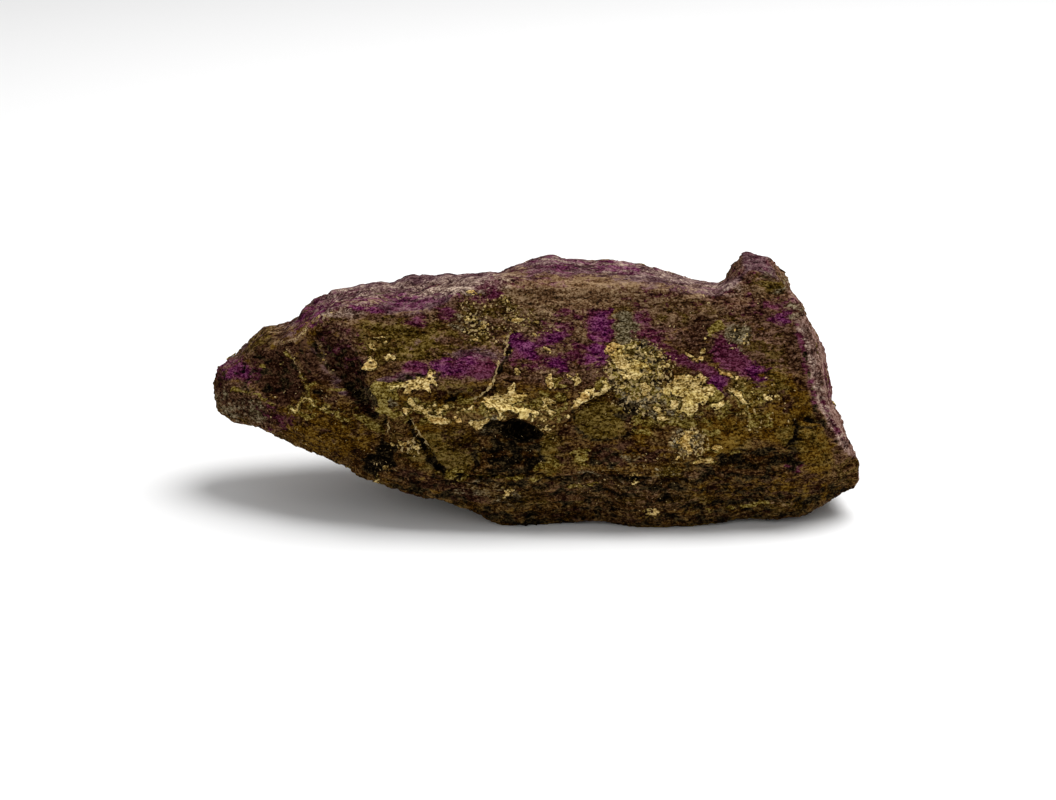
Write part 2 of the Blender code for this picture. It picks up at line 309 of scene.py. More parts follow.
OUTLINE_SWELLS: tuple[Swell, ...] = (
    Swell((218, 366), 0.65, 6), Swell((237, 352), -0.7, 8), Swell((264, 328), 0.7, 10),
    Swell((297, 317), -0.45, 8), Swell((317, 297), 0.7, 7), Swell((391, 282), -0.4, 6),
    Swell((446, 273), 0.5, 7), Swell((500, 271), -0.8, 6), Swell((553, 255), 0.65, 10),
    Swell((590, 259), -0.4, 10), Swell((722, 279), -0.5, 8), Swell((738, 258), -0.4, 6),
    Swell((756, 255), -0.6, 9), Swell((802, 306), 0.5, 11), Swell((846, 434), -0.75, 18),
    Swell((858, 479), 1.1, 9), Swell((284, 438), -0.35, 10), Swell((361, 476), 0.5, 8),
    Swell((437, 499), -0.8, 14), Swell((573, 525), 0.55, 12), Swell((626, 527), 0.45, 8),
    Swell((722, 524), 0.9, 7), Swell((788, 516), -0.4, 6), Swell((213, 385), -0.5, 9),
    Swell((222, 421), -0.7, 8), Swell((244, 344), -0.35, 7), Swell((786, 273), -0.4, 7),
    Swell((792, 288), -0.3, 6), Swell((303, 309), 0.5, 8), Swell((332, 291), 0.35, 6),
    Swell((836, 404), -0.35, 9),
)

# The edge between the front and the broken end, which lies on the left hand of this downward path
END_EDGE: Path = (
    (700, 180), (786, 270), (791, 306), (798, 334), (805, 362), (810, 384), (816, 407), (827, 424),
    (836, 438), (847, 454), (880, 470),
)

FRONT_CREASES: tuple[Crease, ...] = (
    Crease("pit ledge", (
        (466, 420), (484, 414), (500, 417), (515, 413), (532, 421), (548, 428),
    ), 0.6, 10, 2.5),
    Crease("pit floor", ((500, 428), (514, 425), (540, 436)), -0.7, 7, 9),
    Crease("below the pit", ((474, 444), (500, 452), (536, 456)), -0.4, 14, 16),
    Crease("pit, right side", ((548, 430), (544, 446), (546, 468)), 0.35, 3, 9),
    Crease("pad lip", ((438, 396), (452, 399), (466, 396)), -0.6, 2.5, 3),
    Crease("pad edge", ((404, 377), (430, 382), (452, 387), (474, 384), (492, 372)), 0.3, 9, 3),
    Crease("curved crack", (
        (474, 398), (492, 387), (497, 375), (503, 355), (507, 343), (510, 334),
    ), -0.35, 2.5, 2.5),
    Crease("diagonal crack", ((409, 421), (416, 433), (425, 444), (432, 459), (443, 471)), -0.8, 2.5, 2.8),
    Crease("diagonal lip", ((412, 418), (420, 431), (430, 442), (437, 455)), 0.25, 2.5, 6),
    Crease("left crack", ((385, 416), (384, 430), (381, 446)), -0.6, 2.5, 2.5),
    Crease("lower left hollow", ((350, 462), (372, 458), (390, 452)), -0.5, 8, 12),
    Crease("first facet line", ((308, 328), (306, 341), (312, 355), (325, 369), (343, 376)), 0.3, 3, 6),
    Crease("second facet line", ((279, 343), (294, 359), (303, 383), (315, 400)), -0.22, 4, 3),
    Crease("facet ridge", ((262, 352), (282, 352), (300, 362)), 0.3, 5, 3),
    Crease("facet valley", ((348, 386), (362, 401), (379, 419)), -0.3, 4, 6),
    Crease("slab edge", ((376, 384), (372, 398), (384, 412), (400, 417)), 0.4, 3, 8),
    Crease("shelf edge", (
        (320, 318), (346, 309), (376, 312), (392, 313), (415, 314), (439, 305), (470, 289),
    ), 0.3, 8, 3),
    Crease("shelf seam", ((318, 300), (352, 298), (400, 290), (450, 282)), -0.25, 4, 2.5),
    Crease("hump flank", ((452, 301), (460, 296), (473, 284), (488, 277), (502, 271)), 0.35, 2.5, 8),
    Crease("brow crest", ((502, 280), (552, 287), (632, 288), (690, 291), (721, 291)), 0.3, 10, 3),
    Crease("under the brow", ((520, 292), (580, 296), (660, 298), (715, 300)), -0.2, 3, 6),
    Crease("knob foot", ((716, 292), (735, 290), (760, 293), (792, 291)), -0.3, 5, 4),
    Crease("knob ridge", ((745, 254), (738, 270), (731, 287)), 0.25, 4, 5),
    Crease("ribbon step", ((562, 420), (580, 402), (594, 396), (608, 386), (624, 388)), 0.45, 9, 2.5),
    Crease("lump step", ((574, 432), (590, 440), (612, 440), (630, 430)), 0.3, 12, 3),
    Crease("slab step", ((664, 402), (690, 412), (716, 410), (740, 402)), 0.3, 10, 3),
    Crease("lower ledge", ((470, 478), (535, 474), (562, 478), (620, 476), (690, 482)), -0.6, 2.5, 4),
    Crease("second ledge", ((600, 505), (660, 498), (760, 500)), -0.4, 2.5, 4),
    Crease("band seam", ((456, 474), (476, 479), (500, 477)), -0.5, 2.5, 2.5),
    Crease("foot seam", ((500, 500), (540, 496), (590, 498)), -0.3, 2.5, 3),
    Crease("right notch", ((795, 418), (817, 419)), -0.7, 2.5, 4),
    Crease("notch foot", ((795, 419), (797, 437), (790, 446)), -0.5, 3, 3),
    Crease("pocket edge", ((735, 447), (752, 452), (770, 448), (785, 452), (798, 442)), 0.4, 8, 2.5),
    Crease("pocket", ((728, 460), (760, 462), (792, 458)), -0.35, 6, 10),
    Crease("end edge", END_EDGE[1:-1], 0.45, 3, 5),
    Crease("end groove", ((803, 326), (812, 356), (820, 390), (834, 424), (846, 448)), -0.3, 2.5, 2.5),
    Crease("bevel edge", ((792, 476), (819, 468), (841, 460)), 0.3, 6, 3),
    Crease("tip edge", ((224, 372), (238, 388), (262, 396), (288, 408)), 0.3, 6, 4),
)

FRONT_MARKS: dict[Mark, tuple[Blot | Trace | Patch, ...]] = {
    Mark.PURPLE: (
        Blot("tip", (239, 371), (19, 11), SOLID, 8),
        Blot("below the tip", (272, 416), (15, 9), RARE, 20),
        Blot("left outline", (311, 317), (15, 8), 0.2, -35),
        Blot("left outline top", (334, 300), (18, 6), PATCHY, -14),
        Blot("left shelf", (390, 302), (46, 8), PATCHY, -3),
        Blot("tip facet", (343, 345), (21, 17), -0.55, 42),
        Blot("tip facet foot", (356, 360), (10, 9), RARE, 42),
        Patch("pad, left end", (
            (393, 378), (398, 370), (406, 364), (414, 362), (425, 364), (429, 368), (424, 372), (414, 374),
            (402, 376),
        ), DENSE, 1.5),
        Patch("pad", (
            (430, 369), (434, 364), (441, 361), (455, 359), (458, 355), (468, 352), (477, 355), (486, 360),
            (495, 364), (494, 374), (490, 380), (478, 379), (468, 376), (456, 378), (447, 377), (437, 373),
        ), SOLID, 1.5),
        Blot("shelf spot", (449, 315), (8, 6)),
        Blot("small shelf spot", (417, 321), (9, 5), DENSE),
        Blot("hump flank", (487, 291), (16, 9), DENSE, -35),
        Patch("middle", (
            (509, 338), (514, 335), (521, 336), (526, 341), (533, 343), (536, 350), (536, 357), (530, 360),
            (523, 361), (516, 362), (512, 366), (509, 360), (512, 352), (513, 345),
        ), SOLID, 1.5),
        Blot("right of the middle", (551, 340), (16, 6), DENSE),
        Blot("below the middle", (548, 363), (17, 7), DENSE, 4),
        Blot("middle bridge", (586, 355), (22, 10), DENSE, -4),
        Patch("upper patch", (
            (586, 311), (597, 308), (609, 311), (614, 322), (614, 336), (607, 342), (599, 341), (590, 338),
            (587, 326),
        ), SOLID, 1.5),
        Blot("left of the upper patch", (571, 319), (20, 9), PATCHY, -6),
        Blot("hump top", (585, 265), (42, 6), PATCHY, 3),
        Blot("hump front", (540, 277), (40, 8), SPARSE, -4),
        Blot("right of the grey column", (643, 322), (7, 14), 0.1),
        Blot("below it", (660, 339), (11, 8), 0.1, 10),
        Patch("big patch", (
            (712, 352), (714, 345), (716, 338), (721, 335), (726, 338), (732, 344), (741, 351), (748, 356),
            (752, 364), (758, 370), (765, 377), (762, 381), (752, 380), (742, 377), (734, 371), (727, 370),
            (719, 367), (714, 361),
        ), SOLID, 1.5),
        Patch("diagonal", (
            (665, 354), (672, 352), (684, 355), (697, 361), (707, 364), (719, 370), (727, 377), (731, 383),
            (724, 388), (718, 396), (713, 394), (711, 389), (706, 385), (709, 380), (703, 375), (690, 366),
            (676, 362), (667, 359),
        ), SOLID, 1.5),
        Blot("under the knob", (780, 303), (13, 7), PATCHY),
        Blot("below the knob", (783, 318), (9, 6), SOLID, 15),
        Trace("end edge", ((796, 324), (802, 346), (809, 378), (814, 402)), 1.8, PATCHY, 1.5),
        Trace("end face, far edge", ((823, 366), (829, 382), (831, 396)), 2.0, DENSE, 2.0),
        Trace("end face, low", ((822, 400), (830, 418), (842, 438)), 1.2, PATCHY, 2.0),
        Blot("knob crown", (761, 262), (9, 5), SPARSE, 30),
        Blot("knob flank", (738, 270), (12, 14), RARE, 20),
        Blot("dark foot spot", (794, 463), (7, 5), SPARSE),
        Blot("right band", (700, 300), (60, 8), RARE, 3),
    ),
    Mark.VIOLET: (
        Blot("tip", (236, 370), (12, 7), PATCHY, 8),
        Blot("left shelf", (398, 301), (36, 6), -0.2, -3),
        Blot("left outline", (311, 315), (12, 6), SPARSE, -35),
        Blot("hump top", (590, 264), (30, 4), SPARSE, 3),
        Blot("pad", (447, 368), (16, 7), SOLID, -6),
        Blot("pad, top", (467, 358), (9, 6), SOLID, -10),
        Blot("middle", (527, 350), (9, 9)),
        Blot("middle, top", (516, 340), (7, 5), DENSE),
        Blot("right of the middle", (556, 340), (8, 4), DENSE),
        Blot("below the middle", (555, 364), (8, 5)),
        Blot("bridge", (596, 355), (9, 9), DENSE),
        Blot("upper patch", (603, 328), (9, 12), DENSE),
        Blot("diagonal", (717, 384), (8, 10), DENSE),
        Blot("big patch, tail", (757, 374), (10, 6), DENSE, 35),
        Blot("below the knob", (783, 318), (6, 4), PATCHY, 15),
    ),
    Mark.CREAM: (
        Patch("left lump", (
            (361.5, 369.5), (363.5, 366), (364.5, 363.5), (368.5, 362), (368.5, 356), (370.5, 357),
            (371, 361), (374, 360), (376, 362.5), (377.5, 366), (380, 365.5), (377, 369.5), (371.5, 371),
            (366, 372), (363, 371),
        )),
        Patch("second lump", (
            (384, 356.5), (387, 358), (390, 354.5), (392, 356.5), (396, 356), (396.5, 358), (393.5, 361.5),
            (391.5, 359), (389, 361), (386, 362), (384.5, 359.5),
        )),
        Patch("slab, bright half", (
            (388, 386), (396, 385), (402, 382.5), (414, 380.5), (419, 378), (424, 379.5), (428, 378),
            (428, 373), (430.5, 371), (433, 374), (433, 377.5), (435.5, 378), (434, 381), (436.5, 384),
            (438, 387.5), (434, 386), (430, 383.5), (429.5, 387), (432, 389), (431, 393), (428, 393),
            (424, 390.5), (415, 389), (411, 390), (412.5, 394), (407, 395), (401, 393), (404, 390),
            (405, 388), (398, 389), (391, 389),
        )),
        Patch("slab foot", ((401.5, 409), (405, 407), (410, 408), (409, 411.5), (406, 415), (403, 412.5))),
        Patch("arc", (
            (406, 400), (411, 397.5), (414, 402), (418, 405), (423, 404), (425, 408), (428, 412),
            (431, 414), (435, 415), (439, 411.5), (442, 416), (449, 418), (456, 418), (462, 417),
            (462, 419.5), (452, 421), (446, 423), (441, 424.5), (435, 423), (430, 419.5), (425, 416.5),
            (421, 410.5), (415, 408.5), (409, 405),
        )),
        Blot("arc top", (446, 407), (20, 3), PATCHY, -4),
        Patch("orange lump", (
            (467.5, 422.5), (470.5, 418), (473.5, 417), (477, 418), (484, 418), (488, 416.5), (490.5, 418),
            (488, 422), (483, 427), (477, 431), (474, 428.5), (472.5, 425.5),
        ), SOLID, 5.0),
        Patch("main crust", (
            (480.5, 403), (485.5, 401.5), (483.5, 398.5), (493, 396), (497.5, 392.5), (502, 396),
            (507, 394), (507.5, 391), (505.5, 389), (512, 385.5), (513.5, 382.5), (516.5, 383.5),
            (515.5, 389), (517, 394.5), (523, 393), (529, 394), (526.5, 398), (524.5, 402), (515, 403.5),
            (510, 405.5), (513, 408), (523, 408), (530, 410), (533.5, 414), (527, 413.5), (520, 418.5),
            (519, 414.5), (507, 411.5), (501.5, 413.5), (500, 416.5), (497.5, 412), (494, 409),
            (488, 409.5), (485, 406), (486, 404.5),
        ), SOLID, 4.0),
        Blot("main crust fringe", (515, 413), (20, 4), PATCHY),
        Patch("ring, upper arm", (
            (541, 399.5), (545, 398), (550, 397.5), (556, 401), (558.5, 406), (557, 409.5), (553.5, 405),
            (547, 404),
        ), DENSE),
        Trace("ring", (
            (541, 415), (541.5, 409.5), (546, 407.5), (550, 412), (548.5, 417), (542, 421),
        ), 1.3, DENSE),
        Trace("ring, left", ((537, 413), (538, 418), (540, 423)), 1.2, DENSE),
        Blot("ring foot", (550, 432), (6, 8), SPARSE, 10),
        Patch("column lump", (
            (545, 377.5), (547.5, 376.5), (548, 374.5), (551, 373.5), (553.5, 376), (551, 379), (553, 381),
            (553.5, 384.5), (552.5, 388), (554.5, 392), (552.5, 393.5), (550, 389.5), (546.5, 386),
            (545.5, 382),
        )),
        Patch("twin lump", (
            (565, 378), (567, 375), (571, 374.5), (573, 377), (575.5, 376), (577, 372.5), (579, 373.5),
            (578, 377), (582, 378.5), (582, 382), (578, 386), (574.5, 387.5), (572.5, 384.5), (575, 381),
            (570, 380),
        )),
        Patch("ribbon", (
            (563.5, 417.5), (567, 412), (574, 404), (579, 397), (579, 393), (587, 391), (594, 387.5),
            (596, 391), (600, 389), (602.5, 383), (606, 380.5), (610.5, 382), (611.5, 386), (609, 389.5),
            (616, 388), (619, 383.5), (623, 382), (626, 385), (622, 389.5), (612, 392.5), (604, 394),
            (599, 397), (594, 396), (592, 400), (584, 401.5), (576, 406), (570, 412), (568, 418.5),
        )),
        Patch("granular, left band", (
            (604, 350.5), (607, 346.5), (612, 344), (617, 344), (621, 343), (624.5, 347), (623, 354),
            (624, 359), (629, 361), (634, 363), (640, 368), (642, 376), (640, 380.5), (632, 377),
            (629, 381), (624, 382), (619, 373), (616.5, 367), (611, 361.5), (607, 360), (612, 355.5),
            (611, 352.5), (606, 352.5),
        ), 0.45, 1.6),
        Patch("granular, low", (
            (641, 384), (645, 382), (650, 387), (648, 393), (645, 394.5), (642, 390),
        ), 0.35, 1.6),
        Patch("granular, right", (
            (656, 355), (661, 353), (665, 358), (669, 368), (663, 367), (658, 362),
        ), 0.15, 1.6),
        Blot("granular, middle", (640, 365), (20, 18), -0.25, 20),
        Patch("tan slab", (
            (663, 389), (667, 384), (674, 377), (683, 375.5), (686.5, 372), (689.5, 375), (693, 377),
            (702, 374.5), (709.5, 379), (706, 383.5), (704, 385), (711, 389), (714.5, 393), (712, 396),
            (708.5, 397), (707.5, 402), (706, 406), (702, 406.5), (699.5, 404.5), (699, 410), (694, 414.5),
            (689.5, 416.5), (688, 421), (686.5, 416), (680, 410), (683, 405), (681, 398), (676, 397),
            (668, 396), (663, 393),
        )),
        Patch("slab's white foot", (
            (672, 401), (676, 399.5), (679.5, 402), (679, 408), (675.5, 409), (669, 411), (665.5, 415),
            (664, 414), (668, 407.5), (671.5, 404.5),
        )),
        Blot("tan slab, low fringe", (672, 415), (18, 5), PATCHY, 5),
        Patch("right of the slab", (
            (724.5, 389), (729, 387.5), (737, 389.5), (741.5, 392.5), (742, 398), (747, 404.5), (741, 402),
            (736.5, 398), (732.5, 393), (727, 392),
        )),
        Patch("right of the slab, low", (
            (709.5, 406), (713, 402), (717, 403), (722, 399.5), (726, 400.5), (722, 406), (718, 411),
            (713, 412.5),
        )),
        Blot("right scatter", (744, 402), (14, 12), SPARSE),
        Blot("upper scatter", (476, 326), (12, 12), -0.3, 45),
        Blot("upper scatter, right", (506, 309), (28, 7), SPARSE, 22),
        Blot("upper scatter, low", (533, 325), (10, 5), SPARSE, 20),
        Blot("grey lump", (688, 440), (12, 9), 0.1),
        Blot("grey lump foot", (692, 458), (15, 5), SPARSE),
        Patch("lone chip", ((712.5, 448), (714, 445.5), (719, 444.5), (722, 447), (718, 449.5))),
        Patch("flake line", (
            (681, 350), (684.5, 349.5), (690, 354), (697.5, 360), (698.5, 363.5), (690, 357.5),
        )),
        Patch("long flake line", (
            (716, 367), (720, 368.5), (725, 373), (733, 374), (740.5, 379), (736, 380.5), (729, 378),
            (721, 374),
        )),
        Blot("white lump", (703, 351), (2.8, 3.2), crispness=3.0),
        Blot("second white lump", (702, 358.5), (3.2, 2.4), crispness=3.0),
        Blot("third white lump", (705, 339), (1.9, 1.9), crispness=4.0),
        Blot("crumb", (745, 384), (1.7, 1.4), crispness=4.0),
        Blot("second crumb", (774, 384), (2.2, 1.3), SOLID, 30, 4.0),
        Blot("third crumb", (776, 397), (1.8, 1.2), crispness=4.0),
        Blot("fourth crumb", (738, 386), (1.6, 1.2), crispness=4.0),
        Patch("right flakes", ((762.5, 394.5), (765.5, 395), (771.5, 400), (768, 401), (764.5, 398.5))),
        Patch("flake", ((527, 329.5), (531, 330), (535, 333), (538, 336.5), (533, 335.5), (529.5, 333))),
        Patch("second flake", ((542, 346.5), (546, 346.5), (551.5, 350), (551, 352), (546, 351.5))),
        Patch("third flake", (
            (504, 354.5), (506, 351), (511, 349), (514, 349.5), (511, 352.5), (508, 354.5),
        )),
        Patch("fourth flake", (
            (513.5, 373), (516, 369.5), (519, 370.5), (522, 372.5), (519, 374.5), (515, 375),
        )),
        Blot("low left scatter", (410, 447), (9, 4.5), 0.15, 5),
        Blot("white spot", (392, 447), (2.4, 3.6), DENSE, 20, 2.5),
        Blot("second white spot", (383, 468), (5, 2.2), DENSE, -20, 2.5),
        Blot("third white spot", (377, 479), (2.2, 3.2), DENSE, 0, 2.5),
        Blot("foot lump", (507, 492), (4, 2.4), DENSE, 30, 2.0),
        Trace("left veins", (
            (291, 408), (297, 413), (299, 405), (303, 398), (311, 399), (315, 406),
        ), 1.2, DENSE, 4.0),
        Trace("left veins, right", ((315, 406), (322, 409), (330, 406)), 1.0, PATCHY, 4.0),
        Blot("dots by the left lump", (379, 344), (7, 5), SPARSE),
        Blot("low dots", (634, 479), (5, 5), PATCHY),
        Blot("foot dots", (651, 514), (5, 3), PATCHY),
        Blot("foot chip", (508, 491), (6, 3.4), SPARSE, 20),
    ),
    Mark.YELLOW: (
        Patch("slab, left half", (
            (371, 386), (372, 382), (377, 380), (383, 382), (389, 383), (396, 380.5), (404, 380),
            (405, 388), (397, 390), (399, 396), (404, 400.5), (397, 399.5), (391, 398.5), (386.5, 401),
            (388, 406), (392, 409), (402, 411), (405, 416), (394, 417), (386, 414), (379, 415),
            (377.5, 411), (381, 407), (376, 399), (371, 391.5),
        )),
        Patch("arc border", (
            (404, 404), (408, 399), (416, 398), (424, 402), (436, 404), (450, 402), (458, 401), (468, 400),
            (470, 406), (460, 409), (452, 413), (440, 416), (428, 418), (416, 412), (406, 408),
        ), 0.1, 1.5),
        Blot("right of the arc", (466, 402), (9, 5)),
        Patch("smooth patch", (
            (353, 415), (362, 413), (372, 418), (380, 425), (384, 432), (376, 433), (364, 426),
        )),
        Trace("veins", (
            (290, 407), (297, 413), (299, 405), (303, 398), (311, 399), (315, 406), (322, 409), (330, 406),
        ), 1.8, SOLID, 3.0),
        Trace("steep vein", ((286, 352), (295, 362), (301, 376), (306, 385), (308, 398)), 1.3, DENSE, 3.0),
        Trace("upper vein", ((308, 385), (317, 383), (326, 389), (345, 389)), 1.3, DENSE, 3.0),
        Trace("lower vein", ((297, 413), (310, 417), (322, 409), (336, 414), (352, 424)), 1.4, DENSE, 2.5),
        Trace("tip vein", ((232, 389), (245, 392), (258, 395), (266, 402), (276, 406)), 1.6, DENSE, 2.0),
        Blot("tip lump", (263.5, 366.5), (3.5, 1.8), SOLID, 20, 2.5),
        Blot("second tip lump", (282, 363.5), (1.8, 1.4), crispness=3.0),
        Blot("left facet", (334, 415), (28, 12), RARE, 10),
        Blot("crust border", (480, 410), (30, 6), SPARSE, 4),
        Blot("main border", (508, 406), (28, 9), 0.2, -8),
        Blot("middle border", (530, 408), (20, 9), PATCHY),
        Blot("ring border", (551, 405), (16, 16), PATCHY),
        Blot("between the lumps", (563, 383), (10, 4), PATCHY),
        Patch("green freckles", (
            (707, 332), (713, 325), (719, 321), (726, 324), (722, 331), (714, 335),
        ), SOLID, 1.5),
        Blot("granular zone", (636, 368), (26, 26), 0.2, 15),
        Blot("low granular zone", (645, 398), (26, 12), SPARSE),
        Blot("left of the ribbon", (604, 386), (10, 6), DENSE, -10),
        Blot("slab border", (694, 400), (32, 20), 0.2, 10),
        Blot("below the slab", (690, 424), (24, 10), SPARSE, 10),
        Blot("right of the slab", (746, 400), (20, 14), PATCHY),
        Blot("ochre wedge", (643, 424), (9, 12), 0.2, 20),
        Blot("ochre lump", (581, 458), (9, 8), DENSE),
        Blot("lower freckles", (720, 455), (14, 8), SPARSE),
        Blot("upper freckles", (495, 306), (20, 7), RARE, 12),
        Blot("under the pad", (452, 388), (18, 4), RARE),
        Blot("pit, right", (548, 466), (12, 6), SPARSE),
        Trace("foot lip", ((462, 479), (492, 477), (530, 480), (566, 479)), 1.0, PATCHY, 2.0),
        Trace("foot streak", ((566, 484), (584, 487), (598, 484)), 0.8, PATCHY, 2.0),
        Trace("second foot streak", ((720, 502), (742, 507), (768, 502)), 0.7, PATCHY, 2.0),
        Trace("third foot streak", ((690, 508), (716, 511), (734, 508)), 0.7, PATCHY, 2.0),
        Blot("grey lump", (690, 448), (16, 14), SPARSE),
        Blot("arc foot", (417, 420), (10, 6), PATCHY),
        Blot("slab foot", (686, 419), (24, 8), DENSE),
        Blot("right field", (758, 421), (13, 8), PATCHY),
        Blot("foot of the crack", (453, 475), (11, 7), PATCHY),
    ),
    # Black stain, and painted shade: the pit, cracks, the slit under the pad, the shade beside and under the
    # slab and along the foot
    Mark.BLACK: (
        Patch("pit", (
            (500, 432), (505, 425), (511, 420.5), (519, 420), (527, 423), (534, 427), (542, 431),
            (541, 437), (536, 441), (525, 444), (515, 441), (505, 438),
        )),
        Blot("left of the pit", (492, 432), (14, 9), 0.2, -20),
        Blot("below the pit", (512, 454), (33, 18), 0.35, 4),
        Blot("granular zone", (640, 374), (28, 28), SPARSE, 15),
        Blot("below the pit, left", (486, 456), (14, 16), PATCHY),
        Patch("slit", (
            (437, 399), (443, 395), (452, 393.5), (462, 392.5), (456, 398), (446, 401.5),
        ), SOLID, 1.5),
        Blot("left pad shade", (411, 377), (16, 2.4), DENSE, -4, 1.5),
        Blot("beside the slab", (436, 379), (2.5, 5), DENSE, -10, 1.5),
        Blot("under the slab", (400, 404), (13, 2.6), 0.2, 8, 1.5),
        Patch("valley", (
            (345, 383), (357, 377), (368, 386), (378, 400), (381, 419), (368, 413), (356, 401),
        ), 0.35, 1.5),
        Patch("left facet", (
            (255, 355), (273, 351), (287, 351), (293, 362), (298, 376), (303, 392), (286, 396), (268, 394),
            (257, 384),
        ), -0.35),
        Patch("first facet", (
            (320, 348), (338, 342), (354, 350), (364, 366), (366, 376), (354, 380), (336, 378), (326, 366),
        ), SPARSE),
        Patch("lower left", (
            (360, 465), (365, 457), (375, 455), (377, 447), (385, 440), (393, 443), (393, 451), (391, 457),
            (395, 464), (388, 470), (380, 473), (376, 479), (366, 474),
        ), SOLID, 1.5),
        Trace("left crack", ((385, 416), (384, 430), (381, 446)), 1.4, SOLID, 2.5),
        Trace("diagonal crack", (
            (409, 423), (415, 434), (423, 447), (431, 462), (442, 470),
        ), 1.5, SOLID, 2.5),
        Blot("foot of the crack", (436, 464), (9, 5), DENSE, 40),
        Trace("curved crack", (
            (477, 401), (487, 394), (495, 387), (498.5, 376), (502, 362), (507, 355), (510, 344),
        ), 0.9, SOLID, 3.5),
        Trace("band seam", ((456, 474), (476, 479), (500, 477)), 1.6, DENSE, 2.0),
        Trace("lump foot", (
            (573, 412), (577, 428), (585, 437), (602, 441), (622, 438), (634, 430),
        ), 1.6, DENSE, 2.5),
        Trace("ochre rim", ((570, 449), (577, 446), (588, 447), (594, 455), (592, 465)), 1.3, PATCHY, 3.0),
        Blot("right of the ribbon", (629, 412), (12, 9), DENSE),
        Blot("right pocket", (748, 460), (30, 9), 0.3, -3),
        Blot("right pocket, middle", (768, 456), (14, 6), DENSE, -10),
        Blot("right pocket, far end", (790, 462), (12, 9), 0.3),
        Blot("right pocket, low", (714, 476), (24, 10), 0.1, 15),
        Blot("right pocket, foot", (750, 478), (30, 6), PATCHY),
        Trace("pocket edge", ((735, 448), (752, 453), (770, 449), (785, 453), (798, 443)), 1.6, DENSE, 1.5),
        Trace("notch", ((795, 420), (808, 420), (820, 422)), 1.0, SOLID, 3.0),
        Trace("notch, low side", ((799, 427), (812, 428), (818, 426)), 0.7, DENSE, 3.0),
        Trace("notch foot", ((797, 421), (796, 432), (794, 440), (786, 446)), 1.4, SOLID, 2.5),
        Trace("end edge", ((803, 346), (810, 380), (816, 412), (826, 428), (836, 441)), 0.9, PATCHY, 3.0),
        Blot("green pit", (739, 338), (8, 7), PATCHY, 30),
        Trace("facet valley", ((303, 388), (312, 393), (330, 394)), 1.2, PATCHY, 2.0),
        Trace("facet crack", ((313, 342), (320, 356), (331, 370), (342, 378)), 1.0, DENSE, 2.5),
        Trace("second facet crack", ((299, 346), (306, 360), (309, 372)), 1.0, DENSE, 2.5),
        Blot("foot, left", (560, 505), (50, 10), SPARSE, 4),
        Blot("foot, right", (730, 508), (70, 9), SPARSE),
        Trace("foot shade", (
            (400, 484), (450, 503), (500, 520), (560, 528), (640, 530), (720, 526), (790, 515),
        ), 7.0, PATCHY),
        Trace("foot shade, right", ((790, 515), (820, 500), (842, 484)), 6.0, PATCHY),
        Blot("streak", (600, 496), (50, 2), PATCHY),
        Blot("second streak", (700, 490), (60, 2), PATCHY, 2),
        Blot("third streak", (540, 486), (40, 1.6), PATCHY, 3),
        Blot("fourth streak", (745, 503), (50, 2), PATCHY, -3),
        Trace("lower ledge", (
            (457, 478), (520, 476), (560, 480), (620, 478), (690, 484), (760, 480),
        ), 1.5, PATCHY),
        Blot("outline foot", (410, 478), (40, 8), SPARSE, 16),
        Blot("below the ledge", (561, 493), (13, 7), DENSE),
        Blot("below the lump", (614, 457), (15, 7), SPARSE),
        Blot("foot, middle", (651, 511), (13, 7), SPARSE),
        Blot("tip", (246, 378), (22, 12), SPARSE),
    ),
    Mark.GREY: (
        Blot("column", (626, 329), (11, 19)),
        Blot("below the column", (642, 358), (20, 18), DENSE, 30),
        Blot("granular foot", (645, 396), (26, 14), DENSE, 10),
        Blot("slab foot", (668, 412), (22, 9), PATCHY, 10),
        Blot("green spot", (738, 337), (13, 12), DENSE, 35),
        Blot("right spot", (794, 311), (6, 5), SPARSE),
        Blot("tip foot", (243, 411), (20, 9), -0.2, 12),
        Blot("tip edge", (220, 400), (7, 10), SPARSE, -20),
        Blot("grey lump", (688, 441), (14, 11), PATCHY),
        Blot("slab stripe", (383, 396), (12, 4), DENSE, 30),
        Blot("foot lip", (490, 492), (26, 7), SPARSE, 8),
        Blot("left of the pit", (489, 426), (10, 7), DENSE, -30),
        Blot("lower middle", (640, 470), (40, 9), RARE),
        Blot("upper grey", (472, 322), (14, 9), RARE),
        Blot("knob, back", (774, 281), (12, 7), SPARSE, 10),
    ),
    Mark.RUST: (
        Blot("left facet", (325, 428), (52, 24), SOLID, 22),
        Blot("tip", (285, 385), (26, 14), DENSE, 10),
        Blot("ochre field", (722, 436), (28, 20), SOLID, -4),
        Blot("right field", (775, 408), (36, 34), DENSE, 10),
        Blot("right foot", (815, 450), (16, 26), DENSE, -15),
        Blot("pit, right", (546, 460), (12, 18), DENSE),
        Blot("under the arc", (425, 402), (36, 8), DENSE),
        Blot("arc foot", (440, 432), (26, 12), PATCHY),
        Blot("ochre lump", (583, 459), (10, 9)),
        Blot("wedge", (641, 428), (12, 12)),
        Blot("middle left", (500, 398), (60, 14), PATCHY),
        Blot("lower band", (640, 462), (50, 14), PATCHY),
        Blot("right lower band", (760, 490), (70, 14), PATCHY),
        Blot("left outline", (296, 340), (26, 12), PATCHY, -30),
    ),
    Mark.OLIVE: (
        Blot("left front", (398, 340), (44, 24), DENSE, -4),
        Blot("middle front", (440, 340), (50, 18), PATCHY),
        Blot("upper middle", (520, 305), (60, 16), PATCHY),
        Blot("olive lump", (600, 420), (28, 22)),
        Blot("below the arc", (455, 450), (26, 22), DENSE),
        Blot("right upper", (680, 312), (36, 14), PATCHY),
        Blot("foot", (560, 500), (110, 24), PATCHY),
        Blot("right foot", (700, 500), (110, 22), PATCHY),
        Blot("left facet", (350, 440), (30, 24), RARE),
        Blot("right edge", (812, 440), (14, 30), PATCHY),
        Blot("tip ridge", (263, 339), (24, 9), SOLID, -36),
        Blot("below the band seam", (453, 474), (14, 8), SOLID, 10),
        Blot("below the grey lump", (669, 474), (15, 9)),
